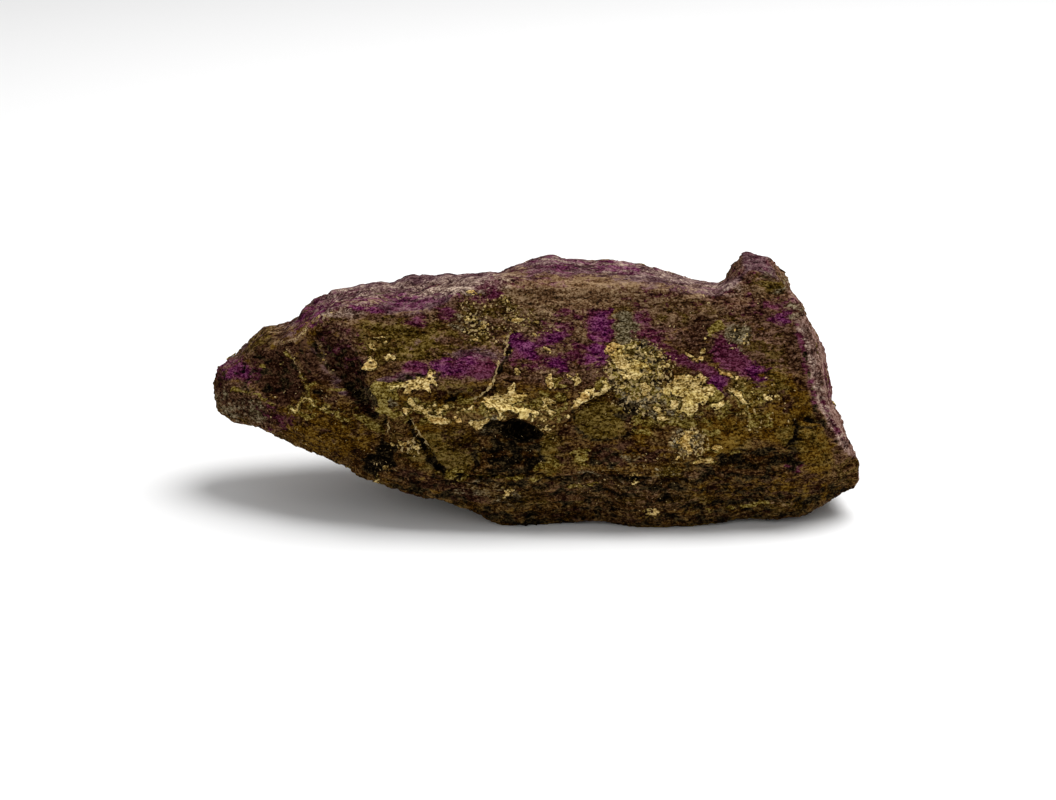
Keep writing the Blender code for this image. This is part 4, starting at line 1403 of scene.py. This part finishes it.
@dataclass(frozen=True)
class StoneFinish(Finish):
    """The stone's whole finish: dark speckled stone under its marks, with painted sheen on level tops,
    painted light on the broken end and painted shadow rims around pale crust.
    """

    name: str = "rough_purpurite"
    roughness: float = 0.85
    specular: float = 0.015
    brown: Speckle = Speckle((34, 14, 1), (59, 35, 14), (98, 72, 40))
    # Level tops, lighter and pinker than the front: painted sheen
    top: Speckle = Speckle((57, 33, 36), (78, 52, 57), (110, 85, 85))
    # The broken end, lighter than the front: partly its own colour, partly painted light from the right
    end_face_with_painted_light: Speckle = Speckle((76, 48, 38), (116, 85, 75), (142, 114, 102))
    face_ragged: float = 1.4
    face_edge: Span = (0.2, 0.9)
    fading: float = 0.4
    shadow: Colour = (24, 12, 2)
    shadow_edge: Span = (-0.35, 0.0)
    shadow_share: float = 0.65
    # Pale flecks, and painted highlights on crack lips and ridges
    fleck: Colour = (180, 156, 108)
    fleck_gain: float = 0.14
    fleck_edge: Span = (0.63, 0.67)

    def share(self, nodes: StoneNodes, layer: Layer, edge: Socket) -> Socket:
        """How much of the surface a layer covers here, with a ragged edge."""
        least = nodes.maths("MULTIPLY_ADD", nodes.smooth(), OUTSIDE, layer.least)
        depth = nodes.maths("MAXIMUM", nodes.attribute(layer.mark.value), least)
        moved = nodes.maths("ADD", depth, nodes.centred(edge, layer.ragged))
        covered = nodes.step(moved, -layer.soft, layer.soft)
        if not layer.fading:
            return covered
        left = nodes.maths("MULTIPLY_ADD", nodes.attribute(MarkMap.top), -self.fading, 1.0)
        return nodes.maths("MULTIPLY", covered, left)

    def base(self, nodes: StoneNodes, tone: Socket, stain_edge: Socket) -> Socket:
        """The colour of unmarked stone: brown or rose, with painted sheen on the level top and painted light
        on the broken end.
        """
        rose = self.share(nodes, ROSE_LAYER, stain_edge)
        colour = nodes.ramp(tone, self.brown.stops())
        colour = nodes.mix(rose, colour, nodes.ramp(tone, ROSE_LAYER.colours.stops()))
        for name, speckle in ((MarkMap.top, self.top), (MarkMap.end, self.end_face_with_painted_light)):
            moved = nodes.maths("ADD", nodes.attribute(name), nodes.centred(stain_edge, self.face_ragged))
            colour = nodes.mix(nodes.step(moved, *self.face_edge), colour, nodes.ramp(tone, speckle.stops()))
        return colour

    def make(self) -> bpy.types.Material:
        """Builds the material.

        Returns:
            The new material.
        """
        material, nodes, place = self.start()
        tone = nodes.tone(place)
        fine_tone = nodes.fine_tone(place)
        crust_edge = nodes.noise(place, Pattern.CRUST_EDGE)
        stain_edge = nodes.stain_edge(place)
        colour = self.base(nodes, tone, stain_edge)
        for layer in STONE_LAYERS:
            share = self.share(nodes, layer, crust_edge if layer.crumbly else stain_edge)
            shade = fine_tone if layer.fine else tone
            colour = nodes.mix(share, colour, nodes.ramp(shade, layer.colours.stops()))
        crumbled = nodes.centred(crust_edge, CrustTree.ragged)
        rim = nodes.maths("ADD", nodes.attribute(Mark.CREAM.value), crumbled)
        rim = nodes.maths("MULTIPLY", nodes.step(rim, *self.shadow_edge), self.shadow_share)
        colour = nodes.mix(rim, colour, linear(self.shadow))
        # Pale flecks and painted highlights where their mark is deep
        density = nodes.maths("MULTIPLY", nodes.attribute(Mark.FLECKS.value), self.fleck_gain)
        flecks = nodes.step(nodes.total(nodes.noise(place, Pattern.FLECKS), density), *self.fleck_edge)
        colour = nodes.mix(flecks, colour, linear(self.fleck))
        self.dress(nodes, colour, tone)
        return material


@dataclass(frozen=True)
class CrustFinish(Finish):
    """The pale crust's finish: cream and orange, yellower in yellow marks and darker at its edges."""

    name: str = "pale_crust"
    roughness: float = 0.9
    specular: float = 0.04
    cream: Speckle = Speckle((112, 86, 36), (178, 150, 88), (218, 192, 130))
    orange: Speckle = Speckle((112, 80, 30), (176, 138, 72), (212, 176, 108))
    orange_edge: Span = (0.5, 0.62)
    yellow: Speckle = Speckle((84, 64, 14), (150, 130, 60), (202, 184, 112))
    yellow_ragged: float = 5.0
    yellow_edge: Span = (-0.2, 0.8)
    yellow_share: float = 0.6
    border: Speckle = Speckle((62, 43, 6), (112, 90, 38), (154, 132, 76))
    border_ragged: float = 1.8
    border_edge: Span = (-0.05, 0.25)

    def make(self) -> bpy.types.Material:
        """Builds the material.

        Returns:
            The new material.
        """
        material, nodes, place = self.start()
        tone = nodes.fine_tone(place)
        lumps = nodes.noise(place, Pattern.LUMPS)
        colour = nodes.ramp(tone, self.cream.stops())
        orange = nodes.step(lumps, *self.orange_edge)
        colour = nodes.mix(orange, colour, nodes.ramp(tone, self.orange.stops()))
        yellow = nodes.total(nodes.attribute(Mark.YELLOW.value), nodes.centred(lumps, self.yellow_ragged))
        yellow = nodes.maths("MULTIPLY", nodes.step(yellow, *self.yellow_edge), self.yellow_share)
        colour = nodes.mix(yellow, colour, nodes.ramp(tone, self.yellow.stops()))
        inner = nodes.total(nodes.attribute(CrustTree.depth_name), nodes.centred(lumps, self.border_ragged))
        inner = nodes.step(inner, *self.border_edge)
        colour = nodes.mix(inner, nodes.ramp(tone, self.border.stops()), colour)
        self.dress(nodes, colour, tone)
        return material


def open_tree(name: str, inputs: dict[str, float]) -> tuple[StoneNodes, Outputs]:
    """Starts a geometry node tree.

    Args:
        name: The tree's name.
        inputs: The sizes that it takes beside the geometry, by name.

    Returns:
        The tree's builder and the sockets of its inputs.
    """
    group = bpy.data.node_groups.new(name, "GeometryNodeTree")
    group.interface.new_socket("Geometry", in_out="INPUT", socket_type="NodeSocketGeometry")
    for size in inputs:
        group.interface.new_socket(size, in_out="INPUT", socket_type="NodeSocketFloat")
    group.interface.new_socket("Geometry", in_out="OUTPUT", socket_type="NodeSocketGeometry")
    nodes = StoneNodes(group)
    return nodes, nodes.add("NodeGroupInput").outputs


def close_tree(nodes: StoneNodes, geometry: Socket, material: bpy.types.Material) -> bpy.types.NodeTree:
    """Ends a geometry node tree.

    Args:
        nodes: The tree's builder.
        geometry: Socket with the finished geometry.
        material: The finish that it gets.

    Returns:
        The node group for a modifier.
    """
    real = nodes.add("GeometryNodeRealizeInstances", {0: geometry}).outputs[0]
    dressed = nodes.add("GeometryNodeSetMaterial", {"Geometry": real, "Material": material}).outputs[0]
    nodes.add("NodeGroupOutput", {0: dressed})
    return nodes.tree


@dataclass
class ReliefTree:
    """Geometry nodes that break the smooth surface: plates, fibres, grain, creases and sunk black marks.

    Heights and sizes are in millimetres. Level and broken faces have smooth_share of the fibres and
    grain. Nothing is raised lower than the start of floor_gap over the floor, and all of it above its end.
    The corner lowest, in metres, is far outside the stone and on the floor.
    """

    name: str = "stone_relief"
    plate_height: float = 0.4
    fibre_height: float = 0.5
    grain_height: float = 0.36
    stain_depth: float = 0.35
    stain_ragged: float = -6.0
    stain_soft: float = 0.3
    crust_height: float = 0.42
    smooth_share: float = 0.6
    plates_across: float = 9.0
    plate_edge: float = 0.16
    floor_gap: Span = (0.2, 1.5)
    lowest: Size = (-1.0, -1.0, 0.0)

    def inputs(self) -> dict[str, float]:
        """Names and values of the tree's inputs, in metres."""
        return {
            "Plate height": self.plate_height * MM,
            "Fibre height": self.fibre_height * MM,
            "Grain height": self.grain_height * MM,
            "Stain depth": self.stain_depth * MM,
            "Crust height": self.crust_height * MM,
        }

    def plates(self, nodes: StoneNodes, place: Socket) -> Socket:
        """Overlapping plates: a slow rise and a sharp drop, around 0."""
        layers = nodes.maths("MULTIPLY", nodes.noise(place, Pattern.PLATES), self.plates_across)
        part = nodes.maths("FRACT", layers)
        rise = nodes.maths("DIVIDE", part, 1 - self.plate_edge)
        fall = nodes.maths("DIVIDE", nodes.maths("SUBTRACT", 1.0, part), self.plate_edge)
        return nodes.maths("SUBTRACT", nodes.maths("MINIMUM", rise, fall), 0.5)

    def height(self, nodes: StoneNodes, given: Outputs, place: Socket, grain: Value = 1.0) -> Socket:
        """How far the bare surface is lifted, in metres, with fibres and grain as strong as grain says."""
        nubs = nodes.centred(nodes.noise(place, Pattern.NUBS), 2.0)
        fine = nodes.total(
            nodes.maths("MULTIPLY", nodes.centred(nodes.fibre(place), 2.0), given["Fibre height"]),
            nodes.maths("MULTIPLY", nubs, given["Grain height"]),
        )
        rough = nodes.between(nodes.smooth(), 1.0, self.smooth_share)
        drawn = nodes.maths("ADD", nodes.attribute(MarkMap.crease), nodes.attribute(MarkMap.swell))
        return nodes.total(
            nodes.maths("MULTIPLY", self.plates(nodes, place), given["Plate height"]),
            nodes.maths("MULTIPLY", drawn, MM),
            nodes.maths("MULTIPLY", nodes.maths("MULTIPLY", fine, rough), grain),
        )

    def move(self, nodes: StoneNodes, geometry: Socket, place: Socket, height: Socket) -> Socket:
        """Moves the surface along its normals by a height in metres, never below the floor."""
        free = nodes.step(nodes.upwards(place), *(part * MM for part in self.floor_gap))
        height = nodes.between(free, nodes.maths("MINIMUM", height, 0.0), height)
        offset = nodes.scaled(nodes.add("GeometryNodeInputNormal").outputs[0], height)
        kept = nodes.vector("MAXIMUM", nodes.vector("ADD", place, offset), self.lowest)
        return nodes.add("GeometryNodeSetPosition", {"Geometry": geometry, "Position": kept}).outputs[0]

    def tree(self, material: bpy.types.Material) -> bpy.types.NodeTree:
        """Builds the tree for the whole stone.

        Args:
            material: The finish that the surface gets.

        Returns:
            The node group for a modifier.
        """
        nodes, given = open_tree(self.name, self.inputs())
        place = nodes.add("GeometryNodeInputPosition").outputs[0]
        marked = nodes.store(given["Geometry"], nodes.place_name, place, "FLOAT_VECTOR")
        edge = nodes.centred(nodes.noise(place, Pattern.CRUST_EDGE), self.stain_ragged)
        black = nodes.maths("ADD", nodes.attribute(Mark.BLACK.value), edge)
        black = nodes.step(black, -self.stain_soft, self.stain_soft)
        sunk = nodes.maths("MULTIPLY", nodes.maths("MULTIPLY", black, -1.0), given["Stain depth"])
        height = nodes.maths("ADD", self.height(nodes, given, place), sunk)
        return close_tree(nodes, self.move(nodes, marked, place, height), material)


@dataclass
class CrustTree(ReliefTree):
    """Geometry nodes that leave only the plates of pale crust, and raise them over the stone.

    Lengths are in millimetres. The plates' own grain is weaker than the stone's by the share grain. Their
    pores start at the first depth of inside and are fully open at the second.
    """

    name: str = "crust_relief"
    depth_name: str = "crust_depth"
    ragged: float = 5.0
    rise: float = 0.3
    sunk: float = 0.12
    grain: float = 0.5
    inside: Span = (0.4, 1.2)
    pore_edge: Span = (0.65, 0.7)
    pore_depth: float = 2.0
    clear_of_floor: float = 0.6

    def depth(self, nodes: StoneNodes, place: Socket) -> Socket:
        """How far inside the crust's ragged edge and off its pores a place lies."""
        cream = nodes.attribute(Mark.CREAM.value)
        inside = nodes.maths("MULTIPLY", nodes.step(cream, *self.inside), -self.pore_depth)
        pores = nodes.step(nodes.noise(place, Pattern.PORES), *self.pore_edge)
        edge = nodes.centred(nodes.noise(place, Pattern.CRUST_EDGE), self.ragged)
        return nodes.total(cream, edge, nodes.maths("MULTIPLY", pores, inside))

    def tree(self, material: bpy.types.Material) -> bpy.types.NodeTree:
        """Builds the tree.

        Args:
            material: The finish that the crust gets.

        Returns:
            The node group for a modifier.
        """
        nodes, given = open_tree(self.name, self.inputs())
        place = nodes.add("GeometryNodeInputPosition").outputs[0]
        marked = nodes.store(given["Geometry"], self.depth_name, self.depth(nodes, place))
        marked = nodes.store(marked, nodes.place_name, place, "FLOAT_VECTOR")
        low = nodes.below(nodes.upwards(place), self.clear_of_floor * MM)
        outside = nodes.below(nodes.attribute(self.depth_name), 0.0)
        left_out = nodes.add("FunctionNodeBooleanMath", {0: low, 1: outside}, operation="OR").outputs[0]
        cut = nodes.add("GeometryNodeDeleteGeometry", {"Geometry": marked, "Selection": left_out}).outputs[0]
        inner = nodes.step(nodes.attribute(self.depth_name), 0.0, self.rise)
        raised = nodes.maths("MULTIPLY", inner, given["Crust height"])
        grain = nodes.between(inner, 1.0, self.grain)
        height = nodes.total(self.height(nodes, given, place, grain), raised, -self.sunk * MM)
        return close_tree(nodes, self.move(nodes, cut, place, height), material)


def apply_tree(piece: bpy.types.Object, group: bpy.types.NodeTree, values: dict[str, float]) -> None:
    """Runs a node group on a piece and keeps the result as its plain mesh.

    Args:
        piece: The object to change.
        group: The geometry node group.
        values: The group's inputs by name.
    """
    modifier = piece.modifiers.new(group.name, "NODES")
    modifier.node_group = group
    for item in group.interface.items_tree:
        if item.item_type == "SOCKET" and item.in_out == "INPUT" and item.name in values:
            modifier[item.identifier] = values[item.name]
    keep_result(piece)


def keep_result(piece: bpy.types.Object) -> None:
    """Replaces a piece's mesh by what its modifiers make of it, and removes them."""
    bpy.context.view_layer.update()
    graph = bpy.context.evaluated_depsgraph_get()
    evaluated = piece.evaluated_get(graph)
    mesh = bpy.data.meshes.new_from_object(evaluated, preserve_all_data_layers=True, depsgraph=graph)
    piece.modifiers.clear()
    old = piece.data
    piece.data = mesh
    mesh.name = piece.name
    bpy.data.meshes.remove(old)


def new_piece(name: str, mesh: bpy.types.Mesh) -> bpy.types.Object:
    """Puts a new object with a mesh in the scene."""
    piece = bpy.data.objects.new(name, mesh)
    bpy.context.scene.collection.objects.link(piece)
    return piece


@dataclass
class StoneBody:
    """The stone's skin: a fine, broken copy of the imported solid.

    Vertices of the remeshed skin that lie less than foot over the floor are laid on it.
    """

    name: str = "stone_skin"
    merge: float = 0.001
    voxel: float = 0.52
    evening: int = 3
    foot: float = 0.25
    finish: StoneFinish = field(default_factory=StoneFinish)
    relief: ReliefTree = field(default_factory=ReliefTree)
    marks: MarkMap = field(default_factory=MarkMap)

    def merged_copy(self) -> bpy.types.Object:
        """A copy of the solid whose triangles share their corners."""
        loose = bmesh.new()
        loose.from_mesh(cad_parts[NODE].data)
        bmesh.ops.remove_doubles(loose, verts=loose.verts[:], dist=self.merge * MM)
        mesh = bpy.data.meshes.new(self.name)
        loose.to_mesh(mesh)
        loose.free()
        mesh.materials.clear()
        return new_piece(self.name, mesh)

    def refine(self, skin: bpy.types.Object) -> None:
        """Rounds the solid's facets and gives the skin an even, fine mesh."""
        rounded = skin.modifiers.new("round", "SUBSURF")
        rounded.levels = rounded.render_levels = 1
        fine = skin.modifiers.new("fine", "REMESH")
        fine.mode = "VOXEL"
        fine.voxel_size = self.voxel * MM
        even = skin.modifiers.new("even", "SMOOTH")
        even.iterations = self.evening
        keep_result(skin)
        for vertex in skin.data.vertices:
            if vertex.co.z < self.foot * MM:
                vertex.co.z = 0.0

    def smooth_skin(self) -> bpy.types.Object:
        """Builds the skin before it is broken, with its marks stored on it."""
        skin = self.merged_copy()
        self.refine(skin)
        self.marks.store(skin.data)
        return skin

    def build(self, skin: bpy.types.Object) -> bpy.types.Object:
        """Breaks the smooth skin and puts it in place of the solid.

        Args:
            skin: The smooth skin, which becomes the finished one.

        Returns:
            The finished skin.
        """
        apply_tree(skin, self.relief.tree(self.finish.make()), self.relief.inputs())
        skin.data.shade_smooth()
        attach(skin, BODY)
        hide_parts(NODE)
        return skin


@dataclass
class PaleCrust:
    """The plates of pale crust that lie on the stone, cut out of a copy of its smooth skin."""

    name: str = "pale_crust"
    border: float = 1.3
    splits: int = 2
    finish: CrustFinish = field(default_factory=CrustFinish)
    relief: CrustTree = field(default_factory=CrustTree)
    marks: MarkMap = field(default_factory=MarkMap)

    def surroundings(self, skin: bpy.types.Object) -> bpy.types.Object:
        """A finer copy of the skin's parts that lie in a pale mark or less than border millimetres from one.

        Args:
            skin: The smooth skin, with its marks.

        Returns:
            The copy, with the pale marks worked out again for its own vertices.
        """
        crust = new_piece(self.name, skin.data.copy())
        loose = bmesh.new()
        loose.from_mesh(crust.data)
        depth = loose.verts.layers.float[Mark.CREAM.value]
        far = [face for face in loose.faces if all(corner[depth] < -self.border for corner in face.verts)]
        bmesh.ops.delete(loose, geom=far, context="FACES")
        loose.to_mesh(crust.data)
        loose.free()
        fine = crust.modifiers.new("fine", "SUBSURF")
        fine.subdivision_type = "SIMPLE"
        fine.levels = fine.render_levels = self.splits
        keep_result(crust)
        self.marks.store_mark(crust.data, Mark.CREAM)
        return crust

    def build(self, skin: bpy.types.Object) -> bpy.types.Object:
        """Builds the plates.

        Args:
            skin: The smooth skin, with its marks.

        Returns:
            One piece with all the plates.
        """
        crust = self.surroundings(skin)
        apply_tree(crust, self.relief.tree(self.finish.make()), self.relief.inputs())
        crust.data.shade_smooth()
        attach(crust, BODY)
        return crust


class GrainShape(Enum):
    """The shapes that strewn grains can have, by the node that makes each."""

    CRUMB = "GeometryNodeMeshIcoSphere"
    CHIP = "GeometryNodeMeshCylinder"


@dataclass
class GrainTree:
    """Geometry nodes that strew small grains over the finished skin and keep the grains only.

    Sizes are in millimetres along the stone, across it and away from its surface. A grain takes the marks of
    the place where it lies. It is turned at random by up to turn radians about the surface's normal and tilt
    radians about the other axes. None lies lower than the start of floor_gap over the floor.
    """

    name: str
    shape: GrainShape
    size: Size
    smallest: float
    largest: float
    per_square_mm: float
    seed: int
    turn: float
    tilt: float
    corners: int = 5
    floor_gap: Span = (1.0, 2.0)

    def inputs(self) -> dict[str, float]:
        """Names and values of the tree's inputs: grains per square metre, and the scale of the grains."""
        return {
            "Density": self.per_square_mm / MM ** 2,
            "Smallest": self.smallest,
            "Largest": self.largest,
        }

    def primitive(self, nodes: StoneNodes) -> Socket:
        """One grain, a unit wide."""
        if self.shape is GrainShape.CRUMB:
            return nodes.add(self.shape.value, {"Radius": 0.5, "Subdivisions": 1}).outputs["Mesh"]
        sizes = {"Vertices": self.corners, "Radius": 0.5, "Depth": 1.0}
        return nodes.add(self.shape.value, sizes).outputs["Mesh"]

    def density(self, nodes: StoneNodes, given: Outputs) -> Socket:
        """Grains per square metre, none close to the floor."""
        place = nodes.add("GeometryNodeInputPosition").outputs[0]
        clear = nodes.step(nodes.upwards(place), *(part * MM for part in self.floor_gap))
        return nodes.maths("MULTIPLY", nodes.maths("MULTIPLY", self.share(nodes), clear), given["Density"])

    def share(self, nodes: StoneNodes) -> Socket:
        """How thickly the grains lie, from 0 to 1: on rough faces only."""
        return nodes.maths("SUBTRACT", 1.0, nodes.smooth())

    def attitude(self, nodes: StoneNodes, normal: Socket) -> Socket:
        """The grains' rotation: flat on the surface and along the stone, then turned and tilted at random."""
        flat = nodes.add("FunctionNodeAlignRotationToVector", {"Vector": normal}, axis="Z").outputs[0]
        along = nodes.add("FunctionNodeAlignRotationToVector", {"Rotation": flat, "Vector": (1.0, 0.0, 0.0)},
                          axis="X", pivot_axis="Z").outputs[0]
        most = (self.tilt, self.tilt, self.turn)
        shake = nodes.random(tuple(-part for part in most), most, self.seed)
        turned = nodes.add("FunctionNodeRotateRotation", {0: along, 1: shake}, rotation_space="LOCAL")
        return turned.outputs[0]

    def tree(self, material: bpy.types.Material) -> bpy.types.NodeTree:
        """Builds the tree.

        Args:
            material: The finish that the grains get.

        Returns:
            The node group for a modifier.
        """
        nodes, given = open_tree(self.name, self.inputs())
        strewn = nodes.add("GeometryNodeDistributePointsOnFaces", {
            "Mesh": given["Geometry"], "Density": self.density(nodes, given), "Seed": self.seed,
        }).outputs
        scale = nodes.random(given["Smallest"], given["Largest"], self.seed)
        grains = nodes.add("GeometryNodeInstanceOnPoints", {
            "Points": strewn["Points"], "Instance": self.primitive(nodes),
            "Scale": nodes.scaled(tuple(part * MM for part in self.size), scale),
            "Rotation": self.attitude(nodes, strewn["Normal"]),
        }).outputs[0]
        real = nodes.add("GeometryNodeRealizeInstances", {0: grains}).outputs[0]
        place = nodes.add("GeometryNodeInputPosition").outputs[0]
        return close_tree(nodes, nodes.store(real, nodes.place_name, place, "FLOAT_VECTOR"), material)


@dataclass
class FringeTree(GrainTree):
    """Grains that lie around the pale crust, but not on it, and in the grainy stone beside it.

    The spans are depths inside a mark, in millimetres, from none to all of the grains.
    """

    beside_crust: Span = (-0.8, -0.1)
    in_flecks: Span = (-0.2, 0.5)
    on_crust: Span = (0.2, 0.6)

    def share(self, nodes: StoneNodes) -> Socket:
        """How thickly the grains lie, from 0 to 1."""
        cream = nodes.attribute(Mark.CREAM.value)
        beside = nodes.step(cream, *self.beside_crust)
        flecked = nodes.step(nodes.attribute(Mark.FLECKS.value), *self.in_flecks)
        outside = nodes.maths("SUBTRACT", 1.0, nodes.step(cream, *self.on_crust))
        return nodes.maths("MULTIPLY", nodes.maths("MAXIMUM", beside, flecked), outside)


@dataclass
class StrewnGrains:
    """One kind of strewn grains as a piece of its own."""

    relief: GrainTree

    def build(self, skin: bpy.types.Object, material: bpy.types.Material) -> bpy.types.Object:
        """Strews the grains.

        Args:
            skin: The finished skin.
            material: The finish that the grains get.

        Returns:
            One piece with all the grains.
        """
        grains = new_piece(self.relief.name, skin.data.copy())
        grains.data.materials.clear()
        apply_tree(grains, self.relief.tree(material), self.relief.inputs())
        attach(grains, BODY)
        return grains


CHIPS = GrainTree(
    name="cleavage_chips", shape=GrainShape.CHIP, size=(1.2, 0.6, 0.22), smallest=0.5, largest=1.5,
    per_square_mm=0.12, seed=7, turn=0.5, tilt=0.1,
)
CRUMBS = FringeTree(
    name="pale_crumbs", shape=GrainShape.CRUMB, size=(0.55, 0.45, 0.36), smallest=0.5, largest=1.5,
    per_square_mm=0.7, seed=11, turn=3.1, tilt=0.4,
)


@dataclass(frozen=True)
class SoftLight:
    """A round soft lamp that looks at the stone. Lengths are in metres, and the power is in watts."""

    name: str
    place: Size
    power: float
    size: float = 0.8

    def hang(self) -> None:
        """Puts the lamp in the scene."""
        data = bpy.data.lights.new(self.name, "AREA")
        data.shape = "DISK"
        data.size = self.size
        data.energy = self.power
        light = bpy.data.objects.new(self.name, data)
        light.location = self.place
        aim = Vector(VIEW.target) - Vector(self.place)
        light.rotation_euler = aim.to_track_quat("-Z", "Y").to_euler()
        bpy.context.scene.collection.objects.link(light)


@dataclass
class Studio:
    """Plain pale floor, soft light from above and the camera. Lengths are in metres."""

    floor_size: float = 6.0
    floor_colour: Colour = (240, 240, 240)
    floor_roughness: float = 0.9
    world_strength: float = 0.45
    lights: tuple[SoftLight, ...] = (
        SoftLight("overhead", (0.35, 0.15, 0.9), 11.0),
        SoftLight("front_fill", (-0.5, -0.9, 0.5), 1.5),
    )

    def make_floor(self) -> None:
        """Lays the floor."""
        bpy.ops.mesh.primitive_plane_add(size=self.floor_size)
        floor = bpy.context.object
        floor.name = "floor"
        material = bpy.data.materials.new("pale_floor")
        material.use_nodes = True
        shader = material.node_tree.nodes["Principled BSDF"]
        shader.inputs["Base Color"].default_value = linear(self.floor_colour)
        shader.inputs["Roughness"].default_value = self.floor_roughness
        floor.data.materials.append(material)

    def make_world(self) -> None:
        """Fills the surroundings with plain soft light."""
        world = bpy.data.worlds.new("surroundings")
        world.use_nodes = True
        background = world.node_tree.nodes["Background"]
        background.inputs["Color"].default_value = (1.0, 1.0, 1.0, 1.0)
        background.inputs["Strength"].default_value = self.world_strength
        bpy.context.scene.world = world

    def build(self) -> None:
        """Builds the whole studio."""
        self.make_floor()
        for light in self.lights:
            light.hang()
        self.make_world()
        VIEW.make_camera()
        bpy.context.scene.view_settings.view_transform = "Standard"


def main() -> None:
    """Builds every piece and reports it."""
    logging.basicConfig(level=logging.INFO, format="%(message)s")
    Studio().build()
    stone = StoneBody()
    skin = stone.smooth_skin()
    crust = PaleCrust().build(skin)
    stone.build(skin)
    chips = StrewnGrains(CHIPS).build(skin, skin.data.materials[0])
    crumbs = StrewnGrains(CRUMBS).build(skin, crust.data.materials[0])
    for piece in (skin, crust, chips, crumbs):
        LOG.info("%s: %d faces", piece.name, len(piece.data.polygons))


if __name__ == "__main__":
    main()
